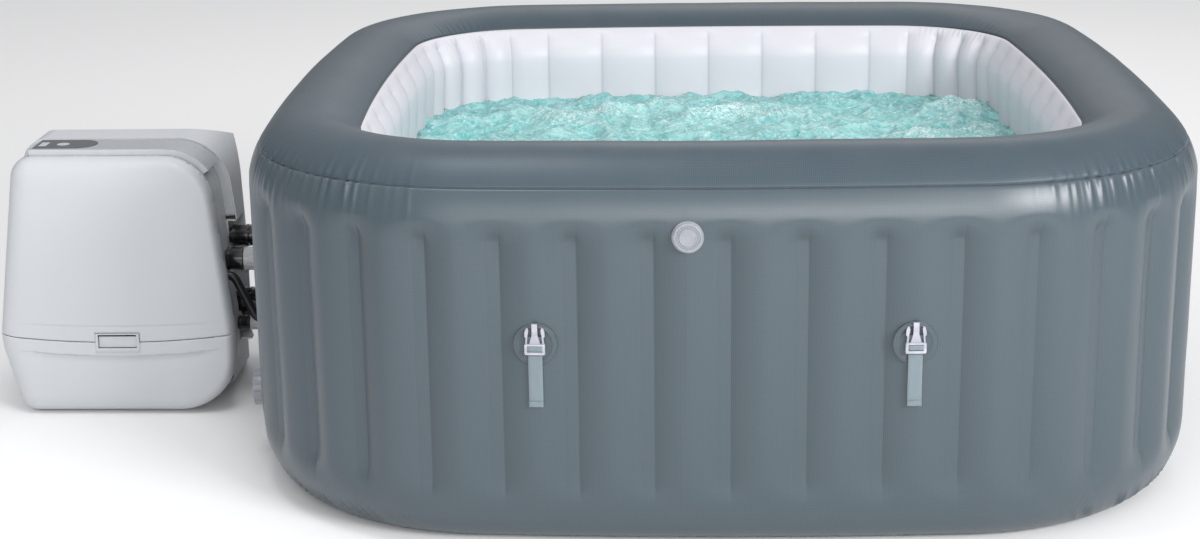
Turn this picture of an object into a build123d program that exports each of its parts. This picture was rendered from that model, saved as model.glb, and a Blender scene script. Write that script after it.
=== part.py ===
from build123d import *
import math
import os

# Square inflatable hot tub with its pump, heater and blower unit standing on the left.
# Frame: origin at the centre of the tub's footprint on the ground, +X to the right of the
# front wall, +Y to the back, +Z up. Millimetres.

# ---- tub: plan outline, a bowed square with round corners ----
TUB_HALF = 900.0            # half the outside width and depth
TUB_HEIGHT = 710.0
BOW_RADIUS = 7330.0         # the slight outward bow of each side
CORNER_RADIUS = 471.0
SHEET = 2.5                 # thickness of the laminated skins

# ---- tub: cross-section of the inflated wall, measured inwards from the outline ----
FOOT_INSET = 91.0
FOOT_RISE = 140.0
SHOULDER_INSET = 111.0      # where the crown is
SHOULDER_Z = 557.5
SEAM_Z = 650.0              # weld between the outer wall and the top rim
CROWN_RADIUS = 151.4        # inner slope of the rim
LIP_INSET = 214.6           # weld between the rim and the liner
LINER_INSET = 250.0
LINER_TOP_Z = 600.0
LINER_X = -TUB_HALF + LINER_INSET   # liner's face on the left side, where the pipes come in
FLOOR_PAD_TOP = 20.0

# ---- welded webs between the two walls ----
WEBS_PER_QUARTER = 12
WEB_Z = (142.0, 556.0)
WEB_THICKNESS = 2.0
WEB_GAP = 0.1

# ---- air channel and water jets ----
CHANNEL_INSET = (252.0, 290.0)
CHANNEL_HEIGHT = 12.0
FEED_HOSE_RADIUS = 8.0      # air hose from the spigot to the channel, inside the wall
FEED_HOSE_BORE = 5.5
FEED_HOSE_Z = 50.0
JET_RING_INSET = 195.0
JET_RING_Z = 75.0
JET_RING_RADIUS = 11.0
JET_RISER_RADIUS = 7.0
JET_FEED_Y = -130.0         # where the supply hose meets the ring main
JET_FEED_RADII = (9.0, 6.5)
JET_Z = 250.0
JET_EYE_RADIUS = 9.0
SCREEN_GROWTH = 8.0         # how far an inlet screen covers beyond its coupling
SLOT_PITCH = 6.0
SLOT_WIDE = 3.0
JET_BODY_RADIUS = 20.0
JET_BODY_DEPTH = 66.0
JET_BEZEL_RADIUS = 30.0
JET_STATION = 1.5           # distance of a jet from mid-side, in webs

# ---- buckled straps, two on each side ----
STRAP_OFFSET = 322.0
STRAP_Z = 383.0
PATCH_RADIUS = 38.0
WEBBING_WIDTH = 24.5
WEBBING_THICKNESS = 1.4
TAIL_BOTTOM_Z = 273.0
BUCKLE_WIDTH = 35.0
BUCKLE_BOTTOM_Z = 368.0
BUCKLE_BODY = 19.0
BUCKLE_TALL = 54.0
BUCKLE_THICK = 7.0
BUCKLE_STANDOFF = 5.0

# ---- air valve on the front wall ----
AIR_VALVE_X = -62.0
AIR_VALVE_Z = 573.0
AIR_VALVE_LEAN = 4.0        # degrees the wall leans back there
AIR_CAP_RADIUS = 25.0
AIR_BORE = 15.0
AIR_STEM_RADIUS = 4.0

# ---- drain valve on the left wall ----
DRAIN_ALONG = 400.0
DRAIN_Z = 140.0
DRAIN_CAP_RADIUS = 35.0
DRAIN_BORE = 16.0
DRAIN_GRATE_RADIUS = 26.0

# ---- pump unit ----
UNIT_FRONT = -172.0
UNIT_RIM = -135.0           # back edge of the front cover
UNIT_CHANNEL_BACK = -18.0   # front edge of the rear cover
UNIT_BACK = 250.0
UNIT_BOTTOM = 3.0
CASE_WALL = 3.0
BACK_GROWTH = 11.0          # how far the rear cover stands outside the front cover
CHANNEL_DEPTH = 13.0        # how far the channel lies inside the front cover
FRONT_ROUNDING = 18.0
BACK_ROUNDING = 16.0
TOP_SLOPE = (70.0, 17.0)     # y at which the rear cover's top starts to fall, and its angle
SIDE_SLOPE = (46.0, 18.2)    # y at which the rear cover's right side starts to draw in, and its angle
SIDE_SLOPE_X = -1003.0
TOE_X = -1034.0              # right side of the rear cover under the couplings
TOE_Z = 118.0
CHANNEL_LEFT_X = -1407.0
COVER_SEAM_Z = 161.0        # lowest point of the bowed seam between the two front covers
COVER_SEAM_RADIUS = 2050.0
COVER_GAP = 1.2
LATCH_X = -1240.0
LATCH_WIDE = 79.0
LATCH_Z = (149.0, 172.5)
LATCH_FRAME_WIDE = 92.0
LATCH_FRAME_Z = (140.0, 180.0)
RECESS_Y = (-19.0, 46.0)    # pocket in the right side that the couplings stand in
RECESS_Z = (118.0, 382.0)
RECESS_X = -1031.0
BAR_TOP_GROWTH = 12.0
BAR_Y = (-133.0, -36.0)
BAR_LEFT_X = -1404.0
PANEL_X = (-1401.0, -1275.0)
PANEL_Y = (-121.0, -40.0)
PANEL_FLOOR_Z = 559.0
LENS_Z = (559.2, 561.4)
LIGHTS_DEPTH = 1.2          # how deep the display and the touch pad are let into the lens
DISPLAY_X = (-1394.0, -1378.0)
DISPLAY_Y = (-100.0, -64.0)
PAD_PLACE = (-1346.0, -82.0)
PAD_RADIUS = 13.0
FRAME_BOTTOM_Z = 24.0
VENT_X = (-1330.0, -1180.0)
VENT_BOTTOM_Z = 300.0
VENT_ROWS = 8
VENT_PITCH = 16.0
VENT_TALL = 7.0
SCREW_COLUMNS = (-1425.0, -1140.0)
SCREW_HEIGHTS = (150.0, 300.0, 440.0)
SCREW_RADIUS = 4.0
GLAND_PLACE = (-1420.0, 120.0)      # x, z
GLAND_RADIUS = 9.0
GLAND_FLANGE_RADIUS = 15.0
GLAND_BORE = 4.5
FEET_X = (-1385.0, -1125.0)
FEET_Y = (-95.0, 190.0)
FOOT_RADIUS = 16.0
FOOT_HEIGHT = 8.0
TRAY_X = (-1430.0, -1100.0)
TRAY_Y = (-118.0, 222.0)
TRAY_Z = (8.0, 12.0)
TRAY_RIM_Z = 22.0

# ---- couplings between the unit and the tub: name, y, z, outer radius, pipe radius ----
COUPLINGS = (
    ("heated_return", 0.0, 343.0, 24.0, 14.0),
    ("jet_supply", -70.0, 311.0, 25.5, 16.0),
    ("jet_suction", 0.0, 196.0, 32.0, 19.0),
    ("filter_suction", -50.0, 164.0, 16.0, 10.5),
)
AIR_SPIGOT = (-95.0, 186.0, 6.0)    # y, z, radius
STUB_START_X = -1040.0
STUB_END_X = -948.0
SPIGOT_END_X = -945.0
SOCKET_END_X = -987.0
NUT_X = (-985.0, -935.0)
PIPE_WALL = 2.5
RUNNING_GAP = 0.08
AIR_HOSE_Z = 281.0
AIR_HOSE_START_X = -1052.0
AIR_HOSE_OUTER = 9.0
AIR_HOSE_INNER = 6.3

# ---- machines inside the unit: x of the volute's back face, y, z, volute radius, volute
# length, motor radius, motor length; for the heater both end faces, y, z, radius ----
JET_PUMP = (-1260.0, 165.0, 110.0, 74.0, 60.0, 58.0, 165.0)
CIRC_PUMP = (-1300.0, 20.0, 75.0, 47.0, 42.0, 36.0, 95.0)
BLOWER = (-1330.0, 150.0, 360.0, 80.0, 70.0, 50.0, 80.0)
HEATER = (-1420.0, -1190.0, 20.0, 200.0, 28.0)
SHAFT_RADIUS = 5.0
VOLUTE_WALL = 6.0
NUT_LOBES = 14


# ------------------------------------------------------------------ plan outline

BOW_OFFSET = BOW_RADIUS - TUB_HALF
CORNER_CENTRE = (-2 * BOW_OFFSET + math.sqrt(
    4 * BOW_OFFSET**2 - 8 * (BOW_OFFSET**2 - (BOW_RADIUS - CORNER_RADIUS)**2))) / 4
TANGENT = math.atan2(CORNER_CENTRE, CORNER_CENTRE + BOW_OFFSET)
HALF_SIDE = BOW_RADIUS * TANGENT
QUARTER = 2 * HALF_SIDE + CORNER_RADIUS * (math.pi / 2 - 2 * TANGENT)


def wall_place(along, z=0.0):
    """Place on the outer skin, `along` mm round the outline from the middle of the front.

    Local -Y points straight out of the wall and local Z is up.
    """
    side = round(along / QUARTER)
    rest = along - side * QUARTER
    sign = 1 if rest >= 0 else -1
    reach = abs(rest)
    if reach <= HALF_SIDE:
        turn = reach / BOW_RADIUS
        x = BOW_RADIUS * math.sin(turn)
        y = BOW_OFFSET - BOW_RADIUS * math.cos(turn)
    else:
        turn = TANGENT + (reach - HALF_SIDE) / CORNER_RADIUS
        x = CORNER_CENTRE + CORNER_RADIUS * math.sin(turn)
        y = -CORNER_CENTRE - CORNER_RADIUS * math.cos(turn)
    return Rot(0, 0, 90 * side) * Pos(sign * x, y, z) * Rot(0, 0, sign * math.degrees(turn))


def plan_face(inset):
    """Flat face bounded by the outline moved inwards by `inset`."""
    corner = CORNER_RADIUS - inset
    bow = BOW_RADIUS - inset
    side_arc = CenterArc((0, BOW_OFFSET), bow, -90 - math.degrees(TANGENT), 2 * math.degrees(TANGENT))
    corner_arc = CenterArc((CORNER_CENTRE, -CORNER_CENTRE), corner, -90 + math.degrees(TANGENT),
                           90 - 2 * math.degrees(TANGENT))
    edges = []
    for quarter in range(4):
        edges += [Rot(0, 0, 90 * quarter) * side_arc, Rot(0, 0, 90 * quarter) * corner_arc]
    return make_face(edges)


def ring(section):
    """Carry a wall section (x = -inset, y = height) round the eight arcs of the outline."""
    half = math.degrees(TANGENT)
    side = revolve(Plane.XZ * (Pos(BOW_RADIUS, 0) * section), Axis.Z, 2 * half)
    side = Pos(-BOW_OFFSET, 0, 0) * Rot(0, 0, -half) * side
    corner = revolve(Plane.XZ * (Pos(CORNER_RADIUS, 0) * section), Axis.Z, 90 - 2 * half)
    corner = Pos(CORNER_CENTRE, CORNER_CENTRE, 0) * Rot(0, 0, half) * corner
    whole = None
    for quarter in range(4):
        for piece in (side, corner):
            turned = Rot(0, 0, 90 * quarter) * piece
            whole = turned if whole is None else whole + turned
    return whole


def band(outer, inner):
    """Closed strip between two matching chains of curves."""
    start = Line(outer[0] @ 0, inner[0] @ 0)
    end = Line(outer[-1] @ 1, inner[-1] @ 1)
    return make_face([*outer, end, *inner, start])


# ------------------------------------------------------------------ tub skins

SEAM_ANGLE = math.degrees(math.asin((SEAM_Z - SHOULDER_Z) / (TUB_HEIGHT - SHOULDER_Z)))
CROWN_Z = TUB_HEIGHT - CROWN_RADIUS
LIP_DX = LIP_INSET - SHOULDER_INSET
LIP_ANGLE = math.degrees(math.acos(LIP_DX / CROWN_RADIUS))
LIP_Z = CROWN_Z + math.sqrt(CROWN_RADIUS**2 - LIP_DX**2)
LINER_RUN = LINER_INSET - LIP_INSET
LINER_DROP = LIP_Z - LINER_TOP_Z
LINER_RADIUS = (LINER_RUN**2 + LINER_DROP**2) / (2 * LINER_RUN)
LINER_ANGLE = math.degrees(math.asin(LINER_DROP / LINER_RADIUS))


def outer_wall_curves(t):
    """Foot rounding, upright and the shoulder up to the seam, moved inwards by t."""
    foot = EllipticalCenterArc((-FOOT_INSET, FOOT_RISE), FOOT_INSET - t, FOOT_RISE - t, 270, arc_size=90)
    shoulder = EllipticalCenterArc((-SHOULDER_INSET, SHOULDER_Z), SHOULDER_INSET - t,
                                   TUB_HEIGHT - SHOULDER_Z - t, 0, arc_size=SEAM_ANGLE)
    return [foot, Line((-t, FOOT_RISE), (-t, SHOULDER_Z)), shoulder]


def top_rim_curves(t):
    """Seam to crown and down the inner slope to the lip, moved inwards by t."""
    outside = EllipticalCenterArc((-SHOULDER_INSET, SHOULDER_Z), SHOULDER_INSET - t,
                                  TUB_HEIGHT - SHOULDER_Z - t, SEAM_ANGLE, arc_size=90 - SEAM_ANGLE)
    slope = CenterArc((-SHOULDER_INSET, CROWN_Z), CROWN_RADIUS - t, 90, 90 - LIP_ANGLE)
    return [outside, slope]


def liner_curves(t):
    """Lip to the upright inner wall and down to the base sheet, moved into the wall by t."""
    bend = CenterArc((-LINER_INSET + LINER_RADIUS, LINER_TOP_Z), LINER_RADIUS - t,
                     180 - LINER_ANGLE, LINER_ANGLE)
    upright = Line((-LINER_INSET + t, LINER_TOP_Z), (-LINER_INSET + t, SHEET))
    return [bend, upright]


def make_outer_wall():
    """Outer skin of the tub, with holes for the fittings that pass through it."""
    skin = ring(band(outer_wall_curves(0), outer_wall_curves(SHEET)))
    for _, y, z, _, pipe in COUPLINGS:
        skin -= x_rod(-940, -860, y, z, pipe + PIPE_WALL)
    air_y, air_z, air_radius = AIR_SPIGOT
    skin -= x_rod(-940, -860, air_y, air_z, air_radius)
    skin -= air_valve_place() * y_rod(-40, 40, 0, 0, AIR_BORE + 4)
    skin -= drain_place() * y_rod(-40, 40, 0, 0, DRAIN_BORE + 4)
    return skin


def make_top_rim():
    return ring(band(top_rim_curves(0), top_rim_curves(SHEET)))


def make_inner_wall():
    """Liner wall, with holes for the jets, the two suctions, the return and the air feed."""
    skin = ring(band(liner_curves(0), liner_curves(SHEET)))
    for along in jet_stations():
        skin -= wall_place(along, JET_Z) * y_rod(LINER_INSET - 20, LINER_INSET + 20, 0, 0, JET_BODY_RADIUS)
    for index in (0, 2, 3):
        _, y, z, _, pipe = COUPLINGS[index]
        skin -= x_rod(-670, -630, y, z, pipe + PIPE_WALL)
    skin -= drain_place() * y_rod(LINER_INSET - 20, LINER_INSET + 20, 0, 0, DRAIN_BORE + 3)
    skin -= x_rod(-670, -630, AIR_SPIGOT[0], FEED_HOSE_Z, FEED_HOSE_RADIUS)
    return skin


def make_base_sheet():
    return extrude(plan_face(FOOT_INSET), SHEET)


def make_floor_pad():
    pad = extrude(plan_face(LINER_INSET + 0.3), FLOOR_PAD_TOP - SHEET)
    return Pos(0, 0, SHEET) * pad


def web_stations():
    """Distance round the outline of every web; the left side has none where pipes pass."""
    step = QUARTER / WEBS_PER_QUARTER
    left = 3 * QUARTER
    drain = left + DRAIN_ALONG
    stations = [i * step for i in range(4 * WEBS_PER_QUARTER)]
    return [s for s in stations if abs(s - left) > 1.5 * step and abs(s - drain) > step / 2]


def make_webs():
    depth = LINER_INSET - 2 * SHEET - 2 * WEB_GAP
    low, high = WEB_Z
    web = Pos(0, LINER_INSET / 2, (low + high) / 2) * Box(WEB_THICKNESS, depth, high - low)
    return group([wall_place(s) * web for s in web_stations()])


def make_air_channel():
    """Flat perforated air channel round the foot of the liner."""
    near, far = CHANNEL_INSET
    section = Pos(-(near + far) / 2, FLOOR_PAD_TOP + CHANNEL_HEIGHT / 2) * RectangleRounded(
        far - near, CHANNEL_HEIGHT, CHANNEL_HEIGHT / 2 - 0.5)
    return ring(section)


# ------------------------------------------------------------------ small helpers

def x_rod(x0, x1, y, z, radius):
    return Pos((x0 + x1) / 2, y, z) * Rot(0, 90, 0) * Cylinder(radius, abs(x1 - x0))


def y_rod(y0, y1, x, z, radius):
    return Pos(x, (y0 + y1) / 2, z) * Rot(90, 0, 0) * Cylinder(radius, abs(y1 - y0))


def z_rod(z0, z1, x, y, radius):
    return Pos(x, y, (z0 + z1) / 2) * Cylinder(radius, abs(z1 - z0))


def block(x0, x1, y0, y1, z0, z1):
    return Pos((x0 + x1) / 2, (y0 + y1) / 2, (z0 + z1) / 2) * Box(abs(x1 - x0), abs(y1 - y0), abs(z1 - z0))


def group(shapes):
    """Separate solids kept together in one node."""
    solids = []
    for shape in shapes:
        solids += shape.solids()
    return Compound(children=[Solid(s.wrapped) for s in solids])


def pipe_run(points, bend, outer, inner):
    """Hollow pipe of straight runs joined by tangent bends."""
    path = FilletPolyline(*points, radius=bend) if len(points) > 2 else Line(*points)
    start = Plane(origin=path @ 0, z_dir=path % 0)
    return sweep(start * (Circle(outer) - Circle(inner)), path=path)


# ------------------------------------------------------------------ water and air in the wall

def jet_stations():
    step = QUARTER / WEBS_PER_QUARTER
    return [side * QUARTER + sign * JET_STATION * step for side in range(4) for sign in (-1, 1)]


def make_jet_pipes():
    """Ring main low in the wall with a riser to each jet."""
    main = ring(Pos(-JET_RING_INSET, JET_RING_Z) * Circle(JET_RING_RADIUS))
    riser = z_rod(JET_RING_Z, JET_Z - JET_BODY_RADIUS, 0, JET_RING_INSET, JET_RISER_RADIUS)
    for along in jet_stations():
        main += wall_place(along) * riser
    return main


def make_jet_nozzles():
    """Eight jets through the liner: body in the wall, bezel and eyeball on the water side."""
    face = LINER_INSET
    body = y_rod(face - JET_BODY_DEPTH, face, 0, 0, JET_BODY_RADIUS)
    bezel = fillet(y_rod(face + 0.2, face + 5.2, 0, 0, JET_BEZEL_RADIUS).edges().group_by(Axis.Y)[-1], 2)
    neck = y_rod(face - 1, face + 1, 0, 0, JET_BODY_RADIUS)
    eye = y_rod(face - 20, face + 20, 0, 0, JET_EYE_RADIUS)
    jet = body + bezel + neck - eye
    return group([wall_place(s, JET_Z) * jet for s in jet_stations()])


def make_inlet_screens():
    """Round slotted screens on the liner over the return and the two suctions."""
    screens = []
    for index in (0, 2, 3):
        _, y, z, outer, pipe = COUPLINGS[index]
        rim = outer + SCREEN_GROWTH
        disc = x_rod(LINER_X + 0.7, LINER_X + 7, y, z, rim)
        disc = fillet(disc.edges().group_by(Axis.X)[-1], 3)
        for step in range(-2, 3):
            middle = y + step * SLOT_PITCH
            if abs(step) * SLOT_PITCH < pipe:
                disc -= block(LINER_X - 5, LINER_X + 20, middle - SLOT_WIDE / 2, middle + SLOT_WIDE / 2,
                              z - pipe, z + pipe)
        screens.append(disc)
    return group(screens)


def make_through_hoses():
    """Hoses inside the wall cavity, from each spigot to the liner, the jet main or the air channel."""
    start = -888.0
    hoses = []
    for index in (0, 2, 3):
        _, y, z, _, pipe = COUPLINGS[index]
        hoses.append(pipe_run([(start, y, z), (LINER_X - 0.2, y, z)], 0, pipe + PIPE_WALL, pipe))
    _, y, z, _, pipe = COUPLINGS[1]
    ring_x = -TUB_HALF + JET_RING_INSET
    main_top = JET_RING_Z + JET_RING_RADIUS + 0.5
    route = [(start, y, z), (-830, y, z), (ring_x, JET_FEED_Y, z), (ring_x, JET_FEED_Y, main_top)]
    hoses.append(pipe_run(route, 20, *JET_FEED_RADII))
    air_y, air_z, _ = AIR_SPIGOT
    hoses.append(pipe_run([(start, air_y, air_z), (-820, air_y, air_z), (-820, air_y, FEED_HOSE_Z),
                           (LINER_X + 1.5, air_y, FEED_HOSE_Z)], 18, FEED_HOSE_RADIUS, FEED_HOSE_BORE))
    return group(hoses)


def make_wall_spigots():
    """Spigots through the outer wall: threaded tube, outside flange and inside nut."""
    spigots = []
    for _, y, z, outer, pipe in COUPLINGS:
        tube = x_rod(SPIGOT_END_X, -888, y, z, pipe + PIPE_WALL)
        flange = fillet(x_rod(-906, -900.8, y, z, outer + 8).edges().group_by(Axis.X)[0], 2)
        nut = x_rod(-896.8, -891, y, z, outer + 4)
        spigots.append(tube + flange + nut - x_rod(-960, -880, y, z, pipe))
    y, z, radius = AIR_SPIGOT
    tube = x_rod(-938, -888, y, z, radius)
    flange = x_rod(-904, -900.8, y, z, radius + 9)
    nut = x_rod(-896.2, -891, y, z, radius + 6)
    spigots.append(tube + flange + nut - x_rod(-960, -880, y, z, radius - 2))
    return group(spigots)


# ------------------------------------------------------------------ straps and buckles

def strap_places():
    """Places of the eight straps: two on each side, right one first."""
    along = BOW_RADIUS * math.asin(STRAP_OFFSET / BOW_RADIUS)
    return [wall_place(side * QUARTER + sign * along) for side in range(4) for sign in (1, -1)]


def make_strap_patches():
    """Welded discs that hold the webbing."""
    patch = y_rod(-1.5, -0.2, 0, STRAP_Z, PATCH_RADIUS)
    return group([place * patch for place in strap_places()])


def make_webbing_straps():
    """Webbing: stitched down behind the buckle, turned round its bar, tail hanging in front."""
    half = WEBBING_WIDTH / 2
    link_z = BUCKLE_BOTTOM_Z - 5
    front = -BUCKLE_STANDOFF - 2.5
    anchor = block(-half, half, -1.6 - WEBBING_THICKNESS, -1.6, link_z, 396)
    link = block(-half, half, front, -1.6, link_z, link_z + WEBBING_THICKNESS)
    tail = block(-half, half, front - WEBBING_THICKNESS, front, TAIL_BOTTOM_Z, link_z + WEBBING_THICKNESS)
    hem = block(-half, half, front - 3 * WEBBING_THICKNESS, front, TAIL_BOTTOM_Z, TAIL_BOTTOM_Z + 10)
    strap = anchor + link + tail + hem
    return group([place * strap for place in strap_places()])


def buckle():
    """Male half of a side-release buckle: slotted body, centre prong and two sprung arms."""
    back = -BUCKLE_STANDOFF
    front = back - BUCKLE_THICK
    top = BUCKLE_BOTTOM_Z + BUCKLE_TALL
    body_top = BUCKLE_BOTTOM_Z + BUCKLE_BODY
    half = BUCKLE_WIDTH / 2
    body = block(-half, half, front, back, BUCKLE_BOTTOM_Z, body_top)
    body = fillet(body.edges().filter_by(Axis.Y), 2.5)
    for low, high in ((BUCKLE_BOTTOM_Z + 4.5, BUCKLE_BOTTOM_Z + 8), (body_top - 6.5, body_top - 3.5)):
        body -= block(-12.8, 12.8, front - 1, back + 1, low, high)
    prong = Polyline((-9.5, body_top - 1), (-4.8, body_top + 16), (-4.8, top), (4.8, top),
                     (4.8, body_top + 16), (9.5, body_top - 1), close=True)
    prong = extrude(Plane.XZ * make_face(prong), 4)
    prong = Pos(0, back - 1.5, 0) * prong
    shapes = body + prong
    for sign in (-1, 1):
        arm = Polyline((sign * 13.2, body_top - 1), (sign * 12.2, top - 22), (sign * 10.4, top - 12),
                       (sign * 11.6, top - 7), (sign * 14.6, top - 7.5), (sign * 17.0, top - 14),
                       (sign * 17.2, top - 22), (sign * 15.2, top - 24),
                       (sign * 16.2, body_top - 1), close=True)
        arm = extrude(Plane.XZ * make_face(arm), 4)
        shapes += Pos(0, back - 1.5, 0) * arm
    return shapes


# ------------------------------------------------------------------ air valve and drain valve

def air_valve_place():
    along = BOW_RADIUS * math.asin(AIR_VALVE_X / BOW_RADIUS)
    return wall_place(along, AIR_VALVE_Z) * Rot(-AIR_VALVE_LEAN, 0, 0)


def drain_place():
    return wall_place(3 * QUARTER + DRAIN_ALONG, DRAIN_Z)


def make_air_valve_body():
    """Tube welded through the wall, with a spider that guides the stem."""
    flange = y_rod(-4, -1, 0, 0, AIR_CAP_RADIUS + 2)
    tube = y_rod(-4, 20, 0, 0, AIR_BORE + 4) - y_rod(-10, 30, 0, 0, AIR_BORE)
    clamp = y_rod(7, 9, 0, 0, AIR_CAP_RADIUS + 6)
    spider = y_rod(10, 12.5, 0, 0, AIR_BORE + 1)
    body = flange + tube + clamp - y_rod(-10, 9.9, 0, 0, AIR_BORE) + spider
    for turn in range(4):
        body -= Rot(0, 90 * turn + 45, 0) * y_rod(5, 15, 9.5, 0, 3.2)
    return air_valve_place() * (body - y_rod(0, 30, 0, 0, AIR_STEM_RADIUS + RUNNING_GAP))


def make_valve_stem():
    """Sprung stem: pressing its button opens the poppet at the inner end."""
    stem = y_rod(3, 21, 0, 0, AIR_STEM_RADIUS) + y_rod(3, 6, 0, 0, 7.5)
    poppet = y_rod(20.4, 22.4, 0, 0, AIR_BORE + 2)
    return air_valve_place() * (stem + poppet)


def make_air_valve_cap():
    """Round screw cap with a raised rim and a shallow plug."""
    cap = y_rod(-10.5, -4.3, 0, 0, AIR_CAP_RADIUS)
    cap = fillet(cap.edges().group_by(Axis.Y)[0], 2)
    cap -= y_rod(-11, -9.7, 0, 0, AIR_CAP_RADIUS - 4) - y_rod(-12, -8, 0, 0, AIR_CAP_RADIUS - 11)
    plug = y_rod(-4.6, 0, 0, 0, AIR_BORE - RUNNING_GAP) - y_rod(-4, 2, 0, 0, AIR_BORE - 2)
    return air_valve_place() * (cap + plug)


def make_drain_valve_body():
    """Drain pipe from the basin through both skins, threaded outside, with its flanges."""
    flange = y_rod(-3.5, -0.8, 0, 0, DRAIN_CAP_RADIUS + 5)
    tube = y_rod(-16, LINER_INSET + 1, 0, 0, DRAIN_BORE + 3)
    nut = y_rod(7, 12, 0, 0, DRAIN_CAP_RADIUS)
    grate = y_rod(LINER_INSET + 0.3, LINER_INSET + 4, 0, 0, DRAIN_GRATE_RADIUS)
    return drain_place() * (flange + tube + nut + grate - y_rod(-30, LINER_INSET + 10, 0, 0, DRAIN_BORE))


def make_drain_cap():
    """Screw cap over the drain outlet, with finger lobes round its rim."""
    cap = y_rod(-22, -4, 0, 0, DRAIN_CAP_RADIUS) - y_rod(-18, 0, 0, 0, DRAIN_BORE + 3 + RUNNING_GAP)
    cap = fillet(cap.edges().group_by(Axis.Y)[0], 3)
    for lobe in range(12):
        cap -= Rot(0, 30 * lobe, 0) * y_rod(-30, -7, DRAIN_CAP_RADIUS + 3, 0, 5)
    return drain_place() * cap


def make_drain_tether():
    """Thin strip that keeps the drain cap with the tub, hanging below it in a loop."""
    top = -DRAIN_CAP_RADIUS - 5.1
    path = FilletPolyline((-7, 0, top), (-6, 0, -72), (6, 0, -72), (7, 0, top), radius=5)
    start = Plane(origin=path @ 0, z_dir=path % 0)
    loop = sweep(start * Rectangle(1.6, 2.6), path=path)
    return drain_place() * Pos(0, -2.2, 0) * loop


# ------------------------------------------------------------------ pump unit casing

def unit_outline(growth=0.0):
    """Front view of the unit: upright sides, a full right shoulder and cut-back lower corners."""
    corners = ((-1437, 549, 45), (-1494, 160, 150), (-1455, UNIT_BOTTOM, 42),
               (-1003, UNIT_BOTTOM, 125), (-998, 185, 300), (-1036, 548, 100))
    shape = make_face(Polyline(*[(x, z) for x, z, _ in corners], close=True))
    for x, z, radius in corners:
        vertex = min(shape.vertices(), key=lambda v: math.hypot(v.X - x, v.Y - z))
        shape = fillet(vertex, radius)
    if growth:
        shape = offset(shape, growth)
    return shape


def unit_slab(growth, y0, y1):
    """The outline, grown or shrunk, standing from y0 to y1."""
    return Pos(0, y0, 0) * extrude(Plane.XZ * unit_outline(growth), -(y1 - y0))


def seam_drum(clearance):
    """Drum whose underside is the bowed seam between the two front covers."""
    centre_z = COVER_SEAM_Z + COVER_SEAM_RADIUS
    return y_rod(UNIT_FRONT - 10, UNIT_BACK, LATCH_X, centre_z, COVER_SEAM_RADIUS + clearance)


def front_shell():
    """Rounded front face of the unit, one thickness of plastic, open at the back."""
    outer = unit_slab(0, UNIT_FRONT, UNIT_RIM)
    outer = fillet(outer.faces().sort_by(Axis.Y)[0].edges(), FRONT_ROUNDING)
    inner = unit_slab(-CASE_WALL, UNIT_FRONT + CASE_WALL, UNIT_RIM + 1)
    inner = fillet(inner.faces().sort_by(Axis.Y)[0].edges(), FRONT_ROUNDING - CASE_WALL)
    return outer - inner


def latch_block(growth, y0, y1):
    """Room of the latch's frame, grown by a clearance."""
    half = LATCH_FRAME_WIDE / 2 + growth
    low, high = LATCH_FRAME_Z
    return block(LATCH_X - half, LATCH_X + half, y0, y1, low - growth, high + growth)


def make_front_cover():
    """Upper front cover, notched at the seam for the latch's frame."""
    return (front_shell() & seam_drum(0)) - latch_block(0.8, UNIT_FRONT - 5, UNIT_FRONT + 20)


def make_lower_cover():
    """Lower front cover, pulled straight off; its latch sits in a frame across the seam."""
    half = LATCH_WIDE / 2 + 0.6
    low, high = LATCH_Z
    frame = latch_block(0, UNIT_FRONT - 1.2, UNIT_FRONT + CASE_WALL)
    window = block(LATCH_X - half, LATCH_X + half, UNIT_FRONT - 5, UNIT_FRONT + 20, low - 0.6, high + 3)
    return (front_shell() - seam_drum(COVER_GAP)) + frame - window


def make_cover_latch():
    """Sprung latch tab that tips inwards about its lower edge."""
    low, high = LATCH_Z
    left, right = LATCH_X - LATCH_WIDE / 2, LATCH_X + LATCH_WIDE / 2
    tab = block(left, right, UNIT_FRONT - 0.8, UNIT_FRONT + 2.2, low, high)
    tab = fillet(tab.edges().filter_by(Axis.Y), 1.2)
    return tab + x_rod(left, right, UNIT_FRONT + 2, low + 2.4, 2.4)


def outside_slopes(growth):
    """What lies beyond the rear cover's sloping top and its drawn-in right side."""
    y0, angle = TOP_SLOPE
    top = Pos(0, y0, 549 + BACK_GROWTH) * Rot(-angle, 0, 0) * block(-1600, -900, -400, 400, -growth, 300)
    y0, angle = SIDE_SLOPE
    return top + Pos(SIDE_SLOPE_X, y0, 0) * Rot(0, 0, angle) * block(-growth, 300, -300, 400, -50, 700)


def rear_slab(growth, y1, rounding):
    """Body of the rear cover with its slopes, rounded back edges and drawn-in toe."""
    slab = unit_slab(BACK_GROWTH - growth, UNIT_CHANNEL_BACK - growth / 3, y1) - outside_slopes(growth)
    slab = fillet(slab.faces().sort_by(Axis.Y)[-1].edges(), rounding)
    return slab - block(TOE_X - growth, -900, -100, UNIT_BACK + 10, -50, TOE_Z + growth)


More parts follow.
